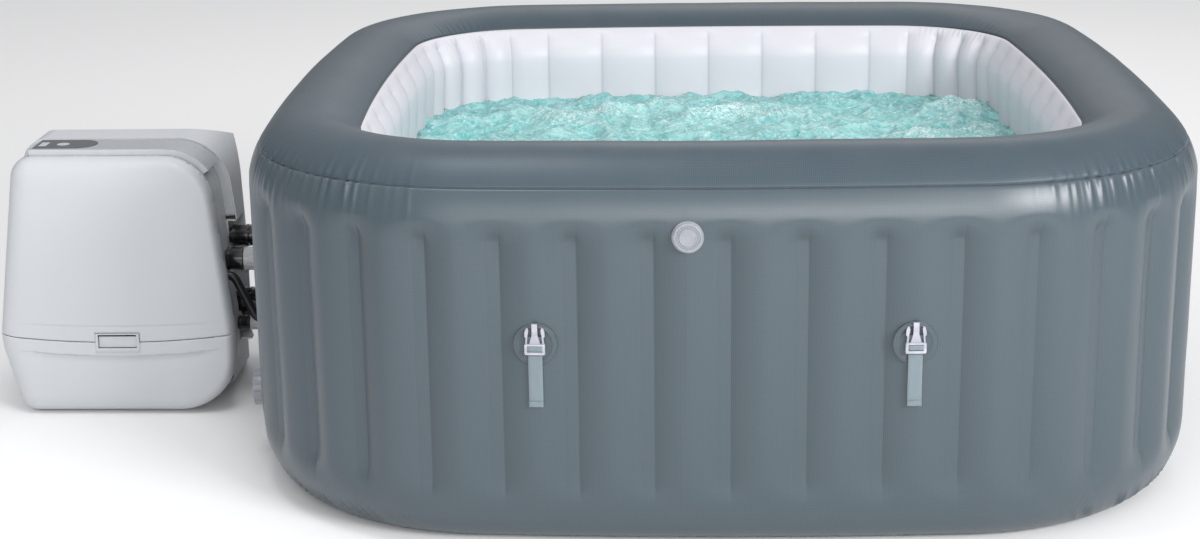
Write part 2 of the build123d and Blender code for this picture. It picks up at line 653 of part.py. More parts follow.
def make_rear_cover():
    """Deep rear casing with a wrap on the left that closes the channel's end, and air slots at the back."""
    shell = rear_slab(0, UNIT_BACK, BACK_ROUNDING)
    shell -= rear_slab(CASE_WALL, UNIT_BACK - CASE_WALL, BACK_ROUNDING - CASE_WALL)
    wrap = unit_slab(0, UNIT_RIM + 0.3, UNIT_CHANNEL_BACK + CASE_WALL)
    wrap -= unit_slab(-CASE_WALL, UNIT_RIM - 1, UNIT_CHANNEL_BACK + 10)
    bridge = unit_slab(BACK_GROWTH - 1, UNIT_CHANNEL_BACK, UNIT_CHANNEL_BACK + CASE_WALL)
    bridge -= unit_slab(-CASE_WALL, UNIT_CHANNEL_BACK - 1, UNIT_CHANNEL_BACK + 10)
    left = block(-1600, CHANNEL_LEFT_X, UNIT_FRONT, UNIT_BACK, -10, 600)
    shell += (wrap + bridge) & left
    shell &= block(-1600, -900, UNIT_FRONT, UNIT_BACK + 10, UNIT_BOTTOM, 600)
    for row in range(VENT_ROWS):
        z = VENT_BOTTOM_Z + VENT_PITCH * row
        shell -= block(*VENT_X, UNIT_BACK - 20, UNIT_BACK + 20, z, z + VENT_TALL)
    for x, z in screw_places():
        shell -= y_rod(UNIT_BACK - 20, UNIT_BACK + 20, x, z, SCREW_RADIUS + 0.1)
    shell -= recess_block(0.2, -10, RECESS_X)
    return shell - y_rod(UNIT_BACK - 20, UNIT_BACK + 20, *GLAND_PLACE, GLAND_RADIUS)


def recess_block(growth, front, x0):
    """Room of the couplings' pocket, grown by a clearance and opened to the front and right."""
    return block(x0 - growth, -900, RECESS_Y[0] + front, RECESS_Y[1] + growth,
                 RECESS_Z[0] - growth, RECESS_Z[1] + growth)


def screw_places():
    return [(x, z) for x in SCREW_COLUMNS for z in SCREW_HEIGHTS]


def make_cord_gland():
    """Empty inlet gland of the power cord."""
    gland = y_rod(UNIT_BACK - 12, UNIT_BACK + 16, *GLAND_PLACE, GLAND_RADIUS)
    gland += y_rod(UNIT_BACK + 0.2, UNIT_BACK + 5, *GLAND_PLACE, GLAND_FLANGE_RADIUS)
    return gland - y_rod(UNIT_BACK - 30, UNIT_BACK + 30, *GLAND_PLACE, GLAND_BORE)


def make_centre_frame():
    """Recessed frame between the two covers; the pipe stubs come out of its right side."""
    y0 = UNIT_RIM + 0.5
    y1 = UNIT_CHANNEL_BACK - 0.5
    frame = unit_slab(-CHANNEL_DEPTH, y0, y1)
    frame -= unit_slab(-CHANNEL_DEPTH - CASE_WALL, y0 - 5, y1 + 5)
    frame &= block(-1600, -900, y0, y1, FRAME_BOTTOM_Z, 600)
    frame -= recess_block(-CASE_WALL, -20, RECESS_X)
    pocket = recess_block(0, 0, RECESS_X) & unit_slab(BACK_GROWTH - CASE_WALL - 0.3, -60, 60)
    pocket -= outside_slopes(CASE_WALL + 0.3)
    frame += pocket - recess_block(-CASE_WALL, -20, RECESS_X)
    for _, y, z, _, pipe in COUPLINGS:
        frame -= x_rod(-1060, -980, y, z, pipe + PIPE_WALL)
    frame -= x_rod(-1060, -980, AIR_SPIGOT[0], AIR_HOSE_Z, AIR_HOSE_OUTER)
    return frame


def make_control_bar():
    """Bar over the channel that carries the panel and turns down over the right shoulder."""
    y0, y1 = BAR_Y
    bar = unit_slab(BAR_TOP_GROWTH, y0, y1) - unit_slab(-CHANNEL_DEPTH + 0.3, y0 - 5, y1 + 5)
    bar &= block(BAR_LEFT_X, -900, UNIT_FRONT, UNIT_BACK, 440, 600)
    keep = Pos(-1136, 0, 448) * Rot(0, -34, 0) * block(-600, 300, y0 - 5, y1 + 5, 0, 300)
    bar &= keep
    return bar - panel_shape(0, PANEL_FLOOR_Z, 570)


def panel_shape(inset, z0, z1):
    """Panel plan: square at the left, fully rounded at the right."""
    x0, x1 = PANEL_X
    y0, y1 = PANEL_Y
    radius = (y1 - y0) / 2
    flat = block(x0 + inset, x1 - radius, y0 + inset, y1 - inset, z0, z1)
    return flat + z_rod(z0, z1, x1 - radius, (y0 + y1) / 2, radius - inset)


def make_panel_lens():
    return panel_shape(0.4, *LENS_Z) - panel_lights(0.2)


def panel_lights(growth):
    """Display window and round touch pad set flush in the lens."""
    low = LENS_Z[1] - LIGHTS_DEPTH - growth
    high = LENS_Z[1] + growth
    display = block(DISPLAY_X[0] - growth, DISPLAY_X[1] + growth,
                    DISPLAY_Y[0] - growth, DISPLAY_Y[1] + growth, low, high)
    return display + z_rod(low, high, *PAD_PLACE, PAD_RADIUS + growth)


def make_panel_lights():
    return group([panel_lights(0)])


def make_pump_base():
    """Chassis tray that the machines stand on, with a low rim and stiffening ribs."""
    low, floor = TRAY_Z
    tray = block(*TRAY_X, *TRAY_Y, low, floor)
    rim = block(*TRAY_X, *TRAY_Y, floor, TRAY_RIM_Z)
    tray += rim - block(TRAY_X[0] + CASE_WALL, TRAY_X[1] - CASE_WALL, TRAY_Y[0] + CASE_WALL,
                        TRAY_Y[1] - CASE_WALL, floor - 1, TRAY_RIM_Z + 5)
    for x in (-1350, -1200):
        tray += block(x - CASE_WALL / 2, x + CASE_WALL / 2, TRAY_Y[0] + 2, TRAY_Y[1] - 2, floor, 20)
    for x in (-1400, -1300):
        tray += block(x - 6, x + 6, 130, 200, floor, 66)
    for x in (-1380, -1330):
        tray += block(x - 6, x + 6, 0, 40, floor, 44)
    return tray - x_rod(-1600, -1100, JET_PUMP[1], JET_PUMP[2], 58.3) - x_rod(
        -1600, -1100, CIRC_PUMP[1], CIRC_PUMP[2], 36.3)


def make_rubber_feet():
    """Four round feet under the chassis."""
    feet = []
    for x in FEET_X:
        for y in FEET_Y:
            foot = z_rod(0, FOOT_HEIGHT, x, y, FOOT_RADIUS)
            feet.append(fillet(foot.edges().group_by(Axis.Z)[0], 1.5))
    return group(feet)


def make_case_screws():
    """Screws that hold the rear casing, in two columns at the back."""
    return group([y_rod(UNIT_BACK - 2.8, UNIT_BACK + 0.8, x, z, SCREW_RADIUS) for x, z in screw_places()])


# ------------------------------------------------------------------ machines inside the unit

def volute(machine, inlet, outlet, outlet_radius):
    """Round pump casing with a wheel chamber, a front inlet and an outlet spout."""
    x0, y, z, radius, length, _, _ = machine
    case = x_rod(x0, x0 + length, y, z, radius)
    case -= x_rod(x0 + 5, x0 + length - 5, y, z, radius - VOLUTE_WALL)
    case -= x_rod(x0 + length - 10, x0 + length + 5, y, z, inlet)
    case -= x_rod(x0 - 5, x0 + 10, y, z, SHAFT_RADIUS + 1)
    middle = Pos(x0 + length / 2, y, z)
    spout = Cylinder(outlet_radius + 3, radius + 6, align=(Align.CENTER, Align.CENTER, Align.MIN))
    bore = Cylinder(outlet_radius, radius + 20, align=(Align.CENTER, Align.CENTER, Align.MIN))
    wheel_room = Rot(0, 90, 0) * Cylinder(radius - VOLUTE_WALL, length - 10)
    return case + middle * outlet * (spout - bore - wheel_room) - middle * outlet * (bore - wheel_room)


def motor(machine):
    """Finned motor body with the bearing bore that carries the shaft."""
    x0, y, z, _, _, radius, length = machine
    body = x_rod(x0 - length, x0 - 0.3, y, z, radius)
    for fin in range(5):
        x = x0 - length + 18 + fin * (length - 36) / 4
        body -= x_rod(x - 3, x + 3, y, z, radius + 5) - x_rod(x - 3, x + 3, y, z, radius - 4)
    return body - x_rod(x0 - 45, x0 + 1, y, z, SHAFT_RADIUS + RUNNING_GAP)


def wheel(machine, blades):
    """Wheel on its shaft: back plate and swept blades."""
    x0, y, z, radius, length, _, _ = machine
    rim = radius - 12
    plate = x_rod(x0 + 9, x0 + 13, 0, 0, rim)
    hub = x_rod(x0 + 9, x0 + length - 14, 0, 0, 11)
    shaft = x_rod(x0 - 40, x0 + 13, 0, 0, SHAFT_RADIUS)
    body = plate + hub + shaft
    for blade in range(blades):
        body += Rot(360 / blades * blade, 0, 0) * block(x0 + 12, x0 + length - 14, -1.5, 1.5, 9, rim - 2)
    return Pos(0, y, z) * body


def make_heater_tube():
    """Flow heater: a capped tube lying above the circulation pump."""
    x0, x1, y, z, radius = HEATER
    tube = x_rod(x0, x1, y, z, radius) - x_rod(x0 + 6, x1 - 6, y, z, radius - 2)
    collars = x_rod(x0 + 4, x0 + 14, y, z, radius + 4) + x_rod(x1 - 14, x1 - 4, y, z, radius + 4)
    collars -= x_rod(x0, x1, y, z, radius - 0.5)
    tube += collars
    tube -= x_rod(x1 - 10, x1 + 5, y, z, 14)
    circ_x = CIRC_PUMP[0] + CIRC_PUMP[4] / 2
    return tube - z_rod(z - radius - 3, z, circ_x, y, 11)


def make_control_board():
    """Board with its relays, transformer and capacitor."""
    board_face = -62.4
    parts = block(-1420, -1240, board_face - 1.6, board_face, 400, 500)
    components = ((-1395, 470, 28, 22, 16), (-1355, 470, 28, 22, 16), (-1300, 450, 40, 36, 30),
                  (-1390, 425, 24, 16, 12), (-1260, 425, 18, 30, 18))
    for x, z, wide, tall, deep in components:
        parts += block(x - wide / 2, x + wide / 2, board_face - 0.2, board_face + deep,
                       z - tall / 2, z + tall / 2)
    return parts


def make_internal_pipes():
    """Six pipes: water in, heated water out, the link to the heater, jet suction and supply, air."""
    circ_x, circ_y, circ_z, circ_r, circ_len, _, _ = CIRC_PUMP
    jet_x, jet_y, jet_z, jet_r, jet_len, _, _ = JET_PUMP
    blow_x, blow_y, blow_z, blow_r, blow_len, _, _ = BLOWER
    heat_end, heat_y, heat_z = HEATER[1:4]
    end = STUB_START_X - 0.3
    (_, y1, z1, _, r1), (_, y2, z2, _, r2), (_, y3, z3, _, r3), (_, y4, z4, _, r4) = COUPLINGS
    circ_mouth, jet_mouth = circ_x + circ_len - 4, jet_x + jet_len - 4
    circ_mid, jet_mid, blow_mid = circ_x + circ_len / 2, jet_x + jet_len / 2, blow_x + blow_len / 2
    spout = 6.3         # clear of the end of a volute's spout
    water_in = [(circ_mouth, circ_y, circ_z), (-1085, circ_y, circ_z), (-1085, y4, z4), (end, y4, z4)]
    water_out = [(heat_end - 5, heat_y, heat_z), (-1160, heat_y, heat_z), (-1160, y1, z1), (end, y1, z1)]
    jet_in = [(jet_mouth, jet_y, jet_z), (-1140, jet_y, jet_z), (-1100, y3, z3), (end, y3, z3)]
    jet_out = [(jet_mid, jet_y, jet_z + jet_r + spout), (jet_mid, jet_y, 255),
               (-1110, 90, 290), (-1100, y2, z2), (end, y2, z2)]
    air_y = AIR_SPIGOT[0]
    air_out = [(blow_mid, blow_y - blow_r - spout, blow_z), (blow_mid, 20, blow_z),
               (-1180, air_y, AIR_HOSE_Z), (AIR_HOSE_START_X - 0.3, air_y, AIR_HOSE_Z)]
    link = [(circ_mid, circ_y, circ_z + circ_r + spout), (circ_mid, circ_y, heat_z - 26)]
    return group([
        pipe_run(water_in, 18, r4, r4 - PIPE_WALL),
        pipe_run(water_out, 15, r1 - 0.2, r1 - PIPE_WALL),
        pipe_run(jet_in, 28, r3, r3 - PIPE_WALL),
        pipe_run(jet_out, 22, r2, r2 - PIPE_WALL),
        pipe_run(air_out, 18, AIR_HOSE_OUTER, AIR_HOSE_INNER),
        pipe_run(link, 0, 10.9, 8.5),
    ])


# ------------------------------------------------------------------ couplings on the unit

def make_air_hose():
    """Short black air hose that bends down from the unit and pushes on to its spigot."""
    y, z, _ = AIR_SPIGOT
    route = [(AIR_HOSE_START_X, y, AIR_HOSE_Z), (-1006, y, AIR_HOSE_Z), (-962, y, z), (-916, y, z)]
    return pipe_run(route, 20, AIR_HOSE_OUTER, AIR_HOSE_INNER)


def make_hose_sockets():
    """Pipe stubs out of the frame, each with a stepped black collar and a shoulder for its nut."""
    sockets = []
    for _, y, z, outer, pipe in COUPLINGS:
        root_x = -1009.0 if z < 250 else -1020.5
        stub = x_rod(STUB_START_X, STUB_END_X, y, z, pipe + PIPE_WALL)
        collar = x_rod(root_x, SOCKET_END_X, y, z, outer - 2)
        ribs = x_rod(root_x, root_x + 5, y, z, outer) + x_rod(SOCKET_END_X - 5, SOCKET_END_X, y, z, outer)
        shoulder = x_rod(STUB_END_X - 7, STUB_END_X, y, z, pipe + PIPE_WALL + 2)
        sockets.append(stub + collar + ribs + shoulder - x_rod(-1050, -940, y, z, pipe))
    return group(sockets)


def make_coupling_seals():
    """O-ring between each stub and its spigot."""
    seals = []
    for _, y, z, _, pipe in COUPLINGS:
        seal = x_rod(STUB_END_X + 0.2, SPIGOT_END_X - 0.4, y, z, pipe + PIPE_WALL)
        seals.append(seal - x_rod(-960, -940, y, z, pipe + 0.4))
    return group(seals)


def make_union_nut(index):
    """Union nut: turns behind the stub's shoulder and covers the spigot's thread."""
    _, y, z, outer, pipe = COUPLINGS[index]
    x0, x1 = NUT_X
    nut = x_rod(x0, x1, y, z, outer - 1)
    nut = fillet(nut.edges(), 1.5)
    nut -= x_rod(x0 - 5, x1 + 5, y, z, pipe + PIPE_WALL + RUNNING_GAP)
    nut -= x_rod(STUB_END_X - 7.5, x1 + 5, y, z, pipe + PIPE_WALL + 2.3)
    for lobe in range(NUT_LOBES):
        notch = x_rod(x0 + 12, x1 - 12, 0, outer + 1.2, 3.0)
        nut -= Pos(0, y, z) * Rot(360 / NUT_LOBES * lobe, 0, 0) * notch
    return nut


# ------------------------------------------------------------------ all nodes

def build_nodes():
    nodes = {
        "outer_wall": make_outer_wall(),
        "top_rim": make_top_rim(),
        "inner_wall": make_inner_wall(),
        "floor_pad": make_floor_pad(),
        "base_sheet": make_base_sheet(),
        "i_beam_webs": make_webs(),
        "air_channel": make_air_channel(),
        "jet_pipes": make_jet_pipes(),
        "jet_nozzles": make_jet_nozzles(),
        "inlet_screens": make_inlet_screens(),
        "through_hoses": make_through_hoses(),
        "wall_spigots": make_wall_spigots(),
        "strap_patches": make_strap_patches(),
        "webbing_straps": make_webbing_straps(),
        "air_valve_body": make_air_valve_body(),
        "valve_stem": make_valve_stem(),
        "air_valve_cap": make_air_valve_cap(),
        "drain_valve_body": make_drain_valve_body(),
        "drain_cap": make_drain_cap(),
        "drain_tether": make_drain_tether(),
        "pump_base": make_pump_base(),
        "rubber_feet": make_rubber_feet(),
        "front_cover": make_front_cover(),
        "lower_cover": make_lower_cover(),
        "cover_latch": make_cover_latch(),
        "rear_cover": make_rear_cover(),
        "centre_frame": make_centre_frame(),
        "control_bar": make_control_bar(),
        "panel_lens": make_panel_lens(),
        "panel_lights": make_panel_lights(),
        "case_screws": make_case_screws(),
        "cord_gland": make_cord_gland(),
        "heater_tube": make_heater_tube(),
        "control_board": make_control_board(),
        "internal_pipes": make_internal_pipes(),
        "hose_sockets": make_hose_sockets(),
        "coupling_seals": make_coupling_seals(),
        "air_hose": make_air_hose(),
        "circ_volute": volute(CIRC_PUMP, 10.6, Rot(0, 0, 0), 8.5),
        "circ_motor": motor(CIRC_PUMP),
        "circ_impeller": wheel(CIRC_PUMP, 6),
        "jet_volute": volute(JET_PUMP, 19.2, Rot(0, 0, 0), 13.5),
        "jet_motor": motor(JET_PUMP),
        "jet_impeller": wheel(JET_PUMP, 6),
        "blower_housing": volute(BLOWER, 30, Rot(90, 0, 0), 6.3),
        "blower_motor": motor(BLOWER),
        "blower_fan": wheel(BLOWER, 12),
    }
    for number, place in enumerate(strap_places(), start=1):
        nodes[f"buckle_{number}"] = place * buckle()
    for index, coupling in enumerate(COUPLINGS):
        nodes[f"union_nut_{coupling[0]}"] = make_union_nut(index)
    return nodes


def main():
    os.makedirs("parts", exist_ok=True)
    for name, shape in build_nodes().items():
        export_step(shape, f"parts/{name}.step")


main()
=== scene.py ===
import logging
import math
from dataclasses import dataclass
from enum import Enum
from functools import cache
from typing import Callable, Iterable, Sequence

import bpy
import numpy as np
from mathutils import Matrix, Vector
from mathutils.geometry import delaunay_2d_cdt


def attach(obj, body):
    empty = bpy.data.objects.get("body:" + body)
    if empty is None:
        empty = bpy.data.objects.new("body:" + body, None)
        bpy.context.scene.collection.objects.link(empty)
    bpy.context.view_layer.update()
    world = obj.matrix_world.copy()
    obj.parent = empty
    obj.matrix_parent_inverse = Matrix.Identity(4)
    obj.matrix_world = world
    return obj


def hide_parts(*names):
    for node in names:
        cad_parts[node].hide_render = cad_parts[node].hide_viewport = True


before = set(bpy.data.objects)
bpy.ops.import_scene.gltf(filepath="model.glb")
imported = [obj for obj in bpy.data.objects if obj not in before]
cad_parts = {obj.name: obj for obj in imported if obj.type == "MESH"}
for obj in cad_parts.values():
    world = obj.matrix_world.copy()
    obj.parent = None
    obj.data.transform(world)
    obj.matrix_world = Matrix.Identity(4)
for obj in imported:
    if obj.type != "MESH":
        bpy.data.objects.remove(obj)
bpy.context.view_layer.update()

LOG = logging.getLogger("hot_tub")

Colour = tuple[float, float, float]
Array = np.ndarray
Point = tuple[float, float]

DUST_TONE: Colour = (0.62, 0.6, 0.57)
PUCKER_HALF_RUN = 0.29
PUCKER_SEED = 21


# ------------------------------------------------------------------ small sums

def tone(red: int, green: int, blue: int) -> Colour:
    """Linear colour of a swatch given in steps of 0 to 255."""
    shares = [step / 255 for step in (red, green, blue)]
    return tuple(share / 12.92 if share <= 0.04045 else ((share + 0.055) / 1.055) ** 2.4 for share in shares)


def smooth(low: float, high: float, value: Array) -> Array:
    """Smooth step from 0 at low to 1 at high."""
    t = np.clip((np.asarray(value, float) - low) / (high - low), 0, 1)
    return t * t * (3 - 2 * t)


def bell(value: Array, middle: float, width: float) -> Array:
    """Bell curve of height 1."""
    return np.exp(-(((np.asarray(value, float) - middle) / width) ** 2))


def lattice_noise(x: Array, y: Array, scale: float, seed: int) -> Array:
    """Smooth value noise from 0 to 1 on a seeded lattice.

    Args:
        x: first coordinates, in metres.
        y: second coordinates, in metres.
        scale: lattice cells in a metre.
        seed: which lattice.

    Returns:
        One value for each point.
    """
    size = 64
    table = np.random.default_rng(seed).random((size, size))
    u, v = np.asarray(x) * scale, np.asarray(y) * scale
    i, j = np.floor(u).astype(int), np.floor(v).astype(int)
    fu, fv = u - i, v - j
    fu, fv = fu * fu * (3 - 2 * fu), fv * fv * (3 - 2 * fv)
    a, b = table[i % size, j % size], table[(i + 1) % size, j % size]
    c, d = table[i % size, (j + 1) % size], table[(i + 1) % size, (j + 1) % size]
    return (a * (1 - fu) + b * fu) * (1 - fv) + (c * (1 - fu) + d * fu) * fv


# ------------------------------------------------------------------ shader wiring

class Graph:
    """A node tree being wired, with short calls for the nodes that recur."""

    def __init__(self, tree: bpy.types.NodeTree) -> None:
        """Work on tree."""
        self.tree = tree

    def node(self, kind: str, **settings: object) -> bpy.types.Node:
        """Add a node and set its own properties."""
        made = self.tree.nodes.new(kind)
        for key, value in settings.items():
            setattr(made, key, value)
        return made

    def feed(self, socket: bpy.types.NodeSocket, value: object) -> None:
        """Link value to socket, or set it where it is a plain number or colour."""
        if isinstance(value, bpy.types.NodeSocket):
            self.tree.links.new(value, socket)
        elif socket.type == "RGBA" and len(value) == 3:
            socket.default_value = (*value, 1)
        else:
            socket.default_value = value

    def sums(self, operation: str, *values: object) -> bpy.types.NodeSocket:
        """One Math node."""
        made = self.node("ShaderNodeMath", operation=operation)
        for socket, value in zip(made.inputs, values):
            self.feed(socket, value)
        return made.outputs[0]

    def blend(self, factor: object, first: object, second: object) -> bpy.types.NodeSocket:
        """Mix two colours by factor."""
        made = self.node("ShaderNodeMix", data_type="RGBA")
        for index, value in ((0, factor), (6, first), (7, second)):
            self.feed(made.inputs[index], value)
        return made.outputs[2]

    def span(self, value: object, low: object, high: object, to_low: float = 0.0,
             to_high: float = 1.0) -> bpy.types.NodeSocket:
        """Map a range to another one, clamped."""
        made = self.node("ShaderNodeMapRange")
        for index, item in enumerate((value, low, high, to_low, to_high)):
            self.feed(made.inputs[index], item)
        return made.outputs[0]

    def noise(self, vector: object, scale: object, detail: float = 2.0, distortion: float = 0.0
              ) -> bpy.types.NodeSocket:
        """Noise value from 0 to 1."""
        made = self.node("ShaderNodeTexNoise")
        self.feed(made.inputs["Vector"], vector)
        self.feed(made.inputs["Scale"], scale)
        self.feed(made.inputs["Detail"], detail)
        self.feed(made.inputs["Distortion"], distortion)
        return made.outputs["Fac"]

    def place(self, group: bpy.types.NodeTree, **values: object) -> bpy.types.Node:
        """Place a node group and feed its inputs by name, with _ for a space."""
        made = self.node("ShaderNodeGroup", node_tree=group)
        for key, value in values.items():
            self.feed(made.inputs[key.replace("_", " ")], value)
        return made

    def place_on_object(self) -> bpy.types.NodeSocket:
        """Where the shaded point is, in the object's own metres."""
        return self.node("ShaderNodeTexCoord").outputs["Object"]

    def attribute(self, name: str, output: str = "Fac") -> bpy.types.NodeSocket:
        """A value stored on the mesh."""
        return self.node("ShaderNodeAttribute", attribute_name=name).outputs[output]


def open_group(name: str, inputs: dict[str, float | None], outputs: Sequence[str]
               ) -> tuple[Graph, bpy.types.Node, bpy.types.Node]:
    """Start a node group with named sockets.

    Args:
        name: the group's name.
        inputs: default value of each input; None makes a vector input.
        outputs: names of its value outputs.

    Returns:
        Its graph, its input node and its output node.
    """
    tree = bpy.data.node_groups.new(name, "ShaderNodeTree")
    for key, value in inputs.items():
        kind = "NodeSocketVector" if value is None else "NodeSocketFloat"
        socket = tree.interface.new_socket(name=key, in_out="INPUT", socket_type=kind)
        if value is not None:
            socket.default_value = value
    for key in outputs:
        tree.interface.new_socket(name=key, in_out="OUTPUT", socket_type="NodeSocketFloat")
    graph = Graph(tree)
    return graph, graph.node("NodeGroupInput"), graph.node("NodeGroupOutput")


@cache
def grain_group() -> bpy.types.NodeTree:
    """Fine grain with a slow drift of tone: outputs Height, and Tint around 1."""
    graph, given, out = open_group("Grain", {"Scale": 900.0, "Drift Scale": 9.0, "Spread": 0.06},
                                   ("Height", "Tint"))
    where = graph.place_on_object()
    fine = graph.noise(where, given.outputs["Scale"], 3)
    slow = graph.noise(where, given.outputs["Drift Scale"], 3)
    both = graph.sums("ADD", graph.sums("MULTIPLY", slow, 0.7), graph.sums("MULTIPLY", fine, 0.3))
    drift = graph.sums("MULTIPLY", graph.sums("SUBTRACT", both, 0.5), given.outputs["Spread"])
    graph.feed(out.inputs["Height"], fine)
    graph.feed(out.inputs["Tint"], graph.sums("ADD", drift, 1.0))
    return graph.tree


@cache
def edge_wear_group() -> bpy.types.NodeTree:
    """Rubbed outer edges, broken up by noise: outputs Mask."""
    graph, given, out = open_group("Edge Wear", {"Amount": 0.3, "Scale": 60.0}, ("Mask",))
    point = graph.node("ShaderNodeNewGeometry").outputs["Pointiness"]
    edge = graph.span(point, 0.51, 0.58)
    broken = graph.span(graph.noise(graph.place_on_object(), given.outputs["Scale"], 4), 0.35, 0.7)
    mask = graph.sums("MULTIPLY", graph.sums("MULTIPLY", edge, broken), given.outputs["Amount"])
    graph.feed(out.inputs["Mask"], mask)
    return graph.tree


@cache
def dust_group() -> bpy.types.NodeTree:
    """Dust that settles on what faces up: outputs Mask."""
    graph, given, out = open_group("Dust", {"Amount": 0.1, "Scale": 14.0}, ("Mask",))
    normal = graph.node("ShaderNodeNewGeometry").outputs["Normal"]
    parts = graph.node("ShaderNodeSeparateXYZ")
    graph.feed(parts.inputs[0], normal)
    upward = graph.span(parts.outputs["Z"], 0.35, 1.0)
    cloud = graph.span(graph.noise(graph.place_on_object(), given.outputs["Scale"], 4), 0.3, 0.75)
    mask = graph.sums("MULTIPLY", graph.sums("MULTIPLY", upward, cloud), given.outputs["Amount"])
    graph.feed(out.inputs["Mask"], mask)
    return graph.tree


@cache
def weave_group() -> bpy.types.NodeTree:
    """Plain weave read from a cloth's own metres: outputs Height and Thread."""
    graph, given, out = open_group("Weave", {"Cloth": None, "Pitch": 0.003, "Skew": 0.0},
                                   ("Height", "Thread"))
    parts = graph.node("ShaderNodeSeparateXYZ")
    graph.feed(parts.inputs[0], given.outputs["Cloth"])
    across = graph.sums("DIVIDE", parts.outputs["X"], given.outputs["Pitch"])
    skewed = graph.sums("MULTIPLY", across, given.outputs["Skew"])
    down = graph.sums("ADD", graph.sums("DIVIDE", parts.outputs["Y"], given.outputs["Pitch"]), skewed)
    warp = graph.sums("SINE", graph.sums("MULTIPLY", across, 2 * math.pi))
    weft = graph.sums("SINE", graph.sums("MULTIPLY", down, 2 * math.pi))
    graph.feed(out.inputs["Height"], graph.sums("MULTIPLY", warp, weft))
    graph.feed(out.inputs["Thread"], graph.span(graph.sums("ADD", warp, weft), -2.0, 2.0))
    return graph.tree


# ------------------------------------------------------------------ finishes

@dataclass(frozen=True)
class Finish:
    """A surface finish; build() gives its material."""

    name: str
    colour: Colour
    roughness: float = 0.5
    metallic: float = 0.0
    coat: float = 0.0
    sheen: float = 0.0
    specular: float = 0.5
    transmission: float = 0.0
    ior: float = 1.46
    grain: float = 900.0
    depth: float = 0.00006
    drift: float = 9.0
    spread: float = 0.06
    wear: float = 0.25
    worn: Colour = (0.62, 0.63, 0.65)
    dust: float = 0.05

    def build(self) -> bpy.types.Material:
        """Make the material once, and hand the same one out after that."""
        made = bpy.data.materials.get(self.name)
        if made is None:
            made = bpy.data.materials.new(self.name)
            made.use_nodes = True
            made.node_tree.nodes.clear()
            graph = Graph(made.node_tree)
            shader = graph.node("ShaderNodeBsdfPrincipled")
            graph.feed(graph.node("ShaderNodeOutputMaterial").inputs["Surface"], shader.outputs[0])
            self.set_constants(shader)
            self.wire(graph, shader)
        return made

    def set_constants(self, shader: bpy.types.Node) -> None:
        """Set what is the same all over on the shader's own sockets."""
        values = {"Metallic": self.metallic, "Coat Weight": self.coat, "Coat Roughness": 0.12,
                  "Sheen Weight": self.sheen, "Sheen Roughness": 0.45, "Specular IOR Level": self.specular,
                  "Transmission Weight": self.transmission, "IOR": self.ior}
        for key, value in values.items():
            shader.inputs[key].default_value = value

    def wire(self, graph: Graph, shader: bpy.types.Node) -> None:
        """Wire colour, roughness and bump."""
        grain = self.place_grain(graph)
        colour = self.tinted(graph, self.colour, grain)
        self.finish_wiring(graph, shader, colour, grain.outputs["Height"], self.depth)

    def place_grain(self, graph: Graph) -> bpy.types.Node:
        """Place this finish's grain."""
        return graph.place(grain_group(), Scale=self.grain, Drift_Scale=self.drift, Spread=self.spread)

    def place_weave(self, graph: Graph, pitch: float, skew: float) -> bpy.types.Node:
        """Place a weave read from the cloth's own metres."""
        return graph.place(weave_group(), Cloth=graph.attribute("cloth", "Vector"), Pitch=pitch, Skew=skew)

    def tinted(self, graph: Graph, colour: object, grain: bpy.types.Node) -> bpy.types.NodeSocket:
        """The colour under the grain's drift of tone."""
        scaled = graph.node("ShaderNodeVectorMath", operation="SCALE")
        graph.feed(scaled.inputs[0], colour)
        graph.feed(scaled.inputs["Scale"], grain.outputs["Tint"])
        return scaled.outputs[0]

    def finish_wiring(self, graph: Graph, shader: bpy.types.Node, colour: object, height: object,
                      depth: float) -> None:
        """Lay wear and dust over the colour, and wire roughness and bump.

        Args:
            graph: the material's graph.
            shader: its Principled shader.
            colour: colour so far.
            height: height for the bump.
            depth: how deep the bump is, in metres.
        """
        wear = graph.place(edge_wear_group(), Amount=self.wear, Scale=60.0)
        dust = graph.place(dust_group(), Amount=self.dust, Scale=14.0)
        colour = graph.blend(wear.outputs["Mask"], colour, self.worn)
        colour = graph.blend(dust.outputs["Mask"], colour, DUST_TONE)
        graph.feed(shader.inputs["Base Color"], colour)
        rough = graph.sums("ADD", graph.span(height, 0.3, 0.7, -0.035, 0.035), self.roughness)
        rough = graph.sums("ADD", rough, graph.sums("MULTIPLY", dust.outputs["Mask"], 0.5))
        graph.feed(shader.inputs["Roughness"], rough)
        bump = graph.node("ShaderNodeBump")
        bump.inputs["Strength"].default_value = 0.6
        bump.inputs["Distance"].default_value = depth
        graph.feed(bump.inputs["Height"], height)
        graph.feed(shader.inputs["Normal"], bump.outputs["Normal"])


@dataclass(frozen=True)
class LaminatedVinyl(Finish):
    """Vinyl with a fine mesh scrim showing through, and painted shade darkening its creases."""

    # Colour of the painted shade laid into the creases.
    painted_crease_shade: Colour = (0.05, 0.06, 0.07)
    painted_crease_shade_share: float = 0.75
    scrim: Colour = (0.75, 0.78, 0.8)
    pitch: float = 0.0032
    weave_depth: float = 0.00007

    def wire(self, graph: Graph, shader: bpy.types.Node) -> None:
        """Wire the scrim, the painted crease shade and the grain."""
        grain = self.place_grain(graph)
        weave = self.place_weave(graph, self.pitch, 0.0)
        # Painted shade: the stored crease mask darkens the colour along welds, seams and creases.
        painted_crease_shade = graph.sums("MULTIPLY", graph.attribute("painted_crease_shade"), self.painted_crease_shade_share)
        colour = graph.blend(painted_crease_shade, self.tinted(graph, self.colour, grain), self.painted_crease_shade)
        threads = graph.sums("MULTIPLY", weave.outputs["Thread"], 0.05)
        colour = graph.blend(threads, colour, self.scrim)
        woven = graph.sums("MULTIPLY", weave.outputs["Height"], 0.35)
        height = graph.sums("ADD", woven, grain.outputs["Height"])
        self.finish_wiring(graph, shader, colour, height, self.weave_depth)


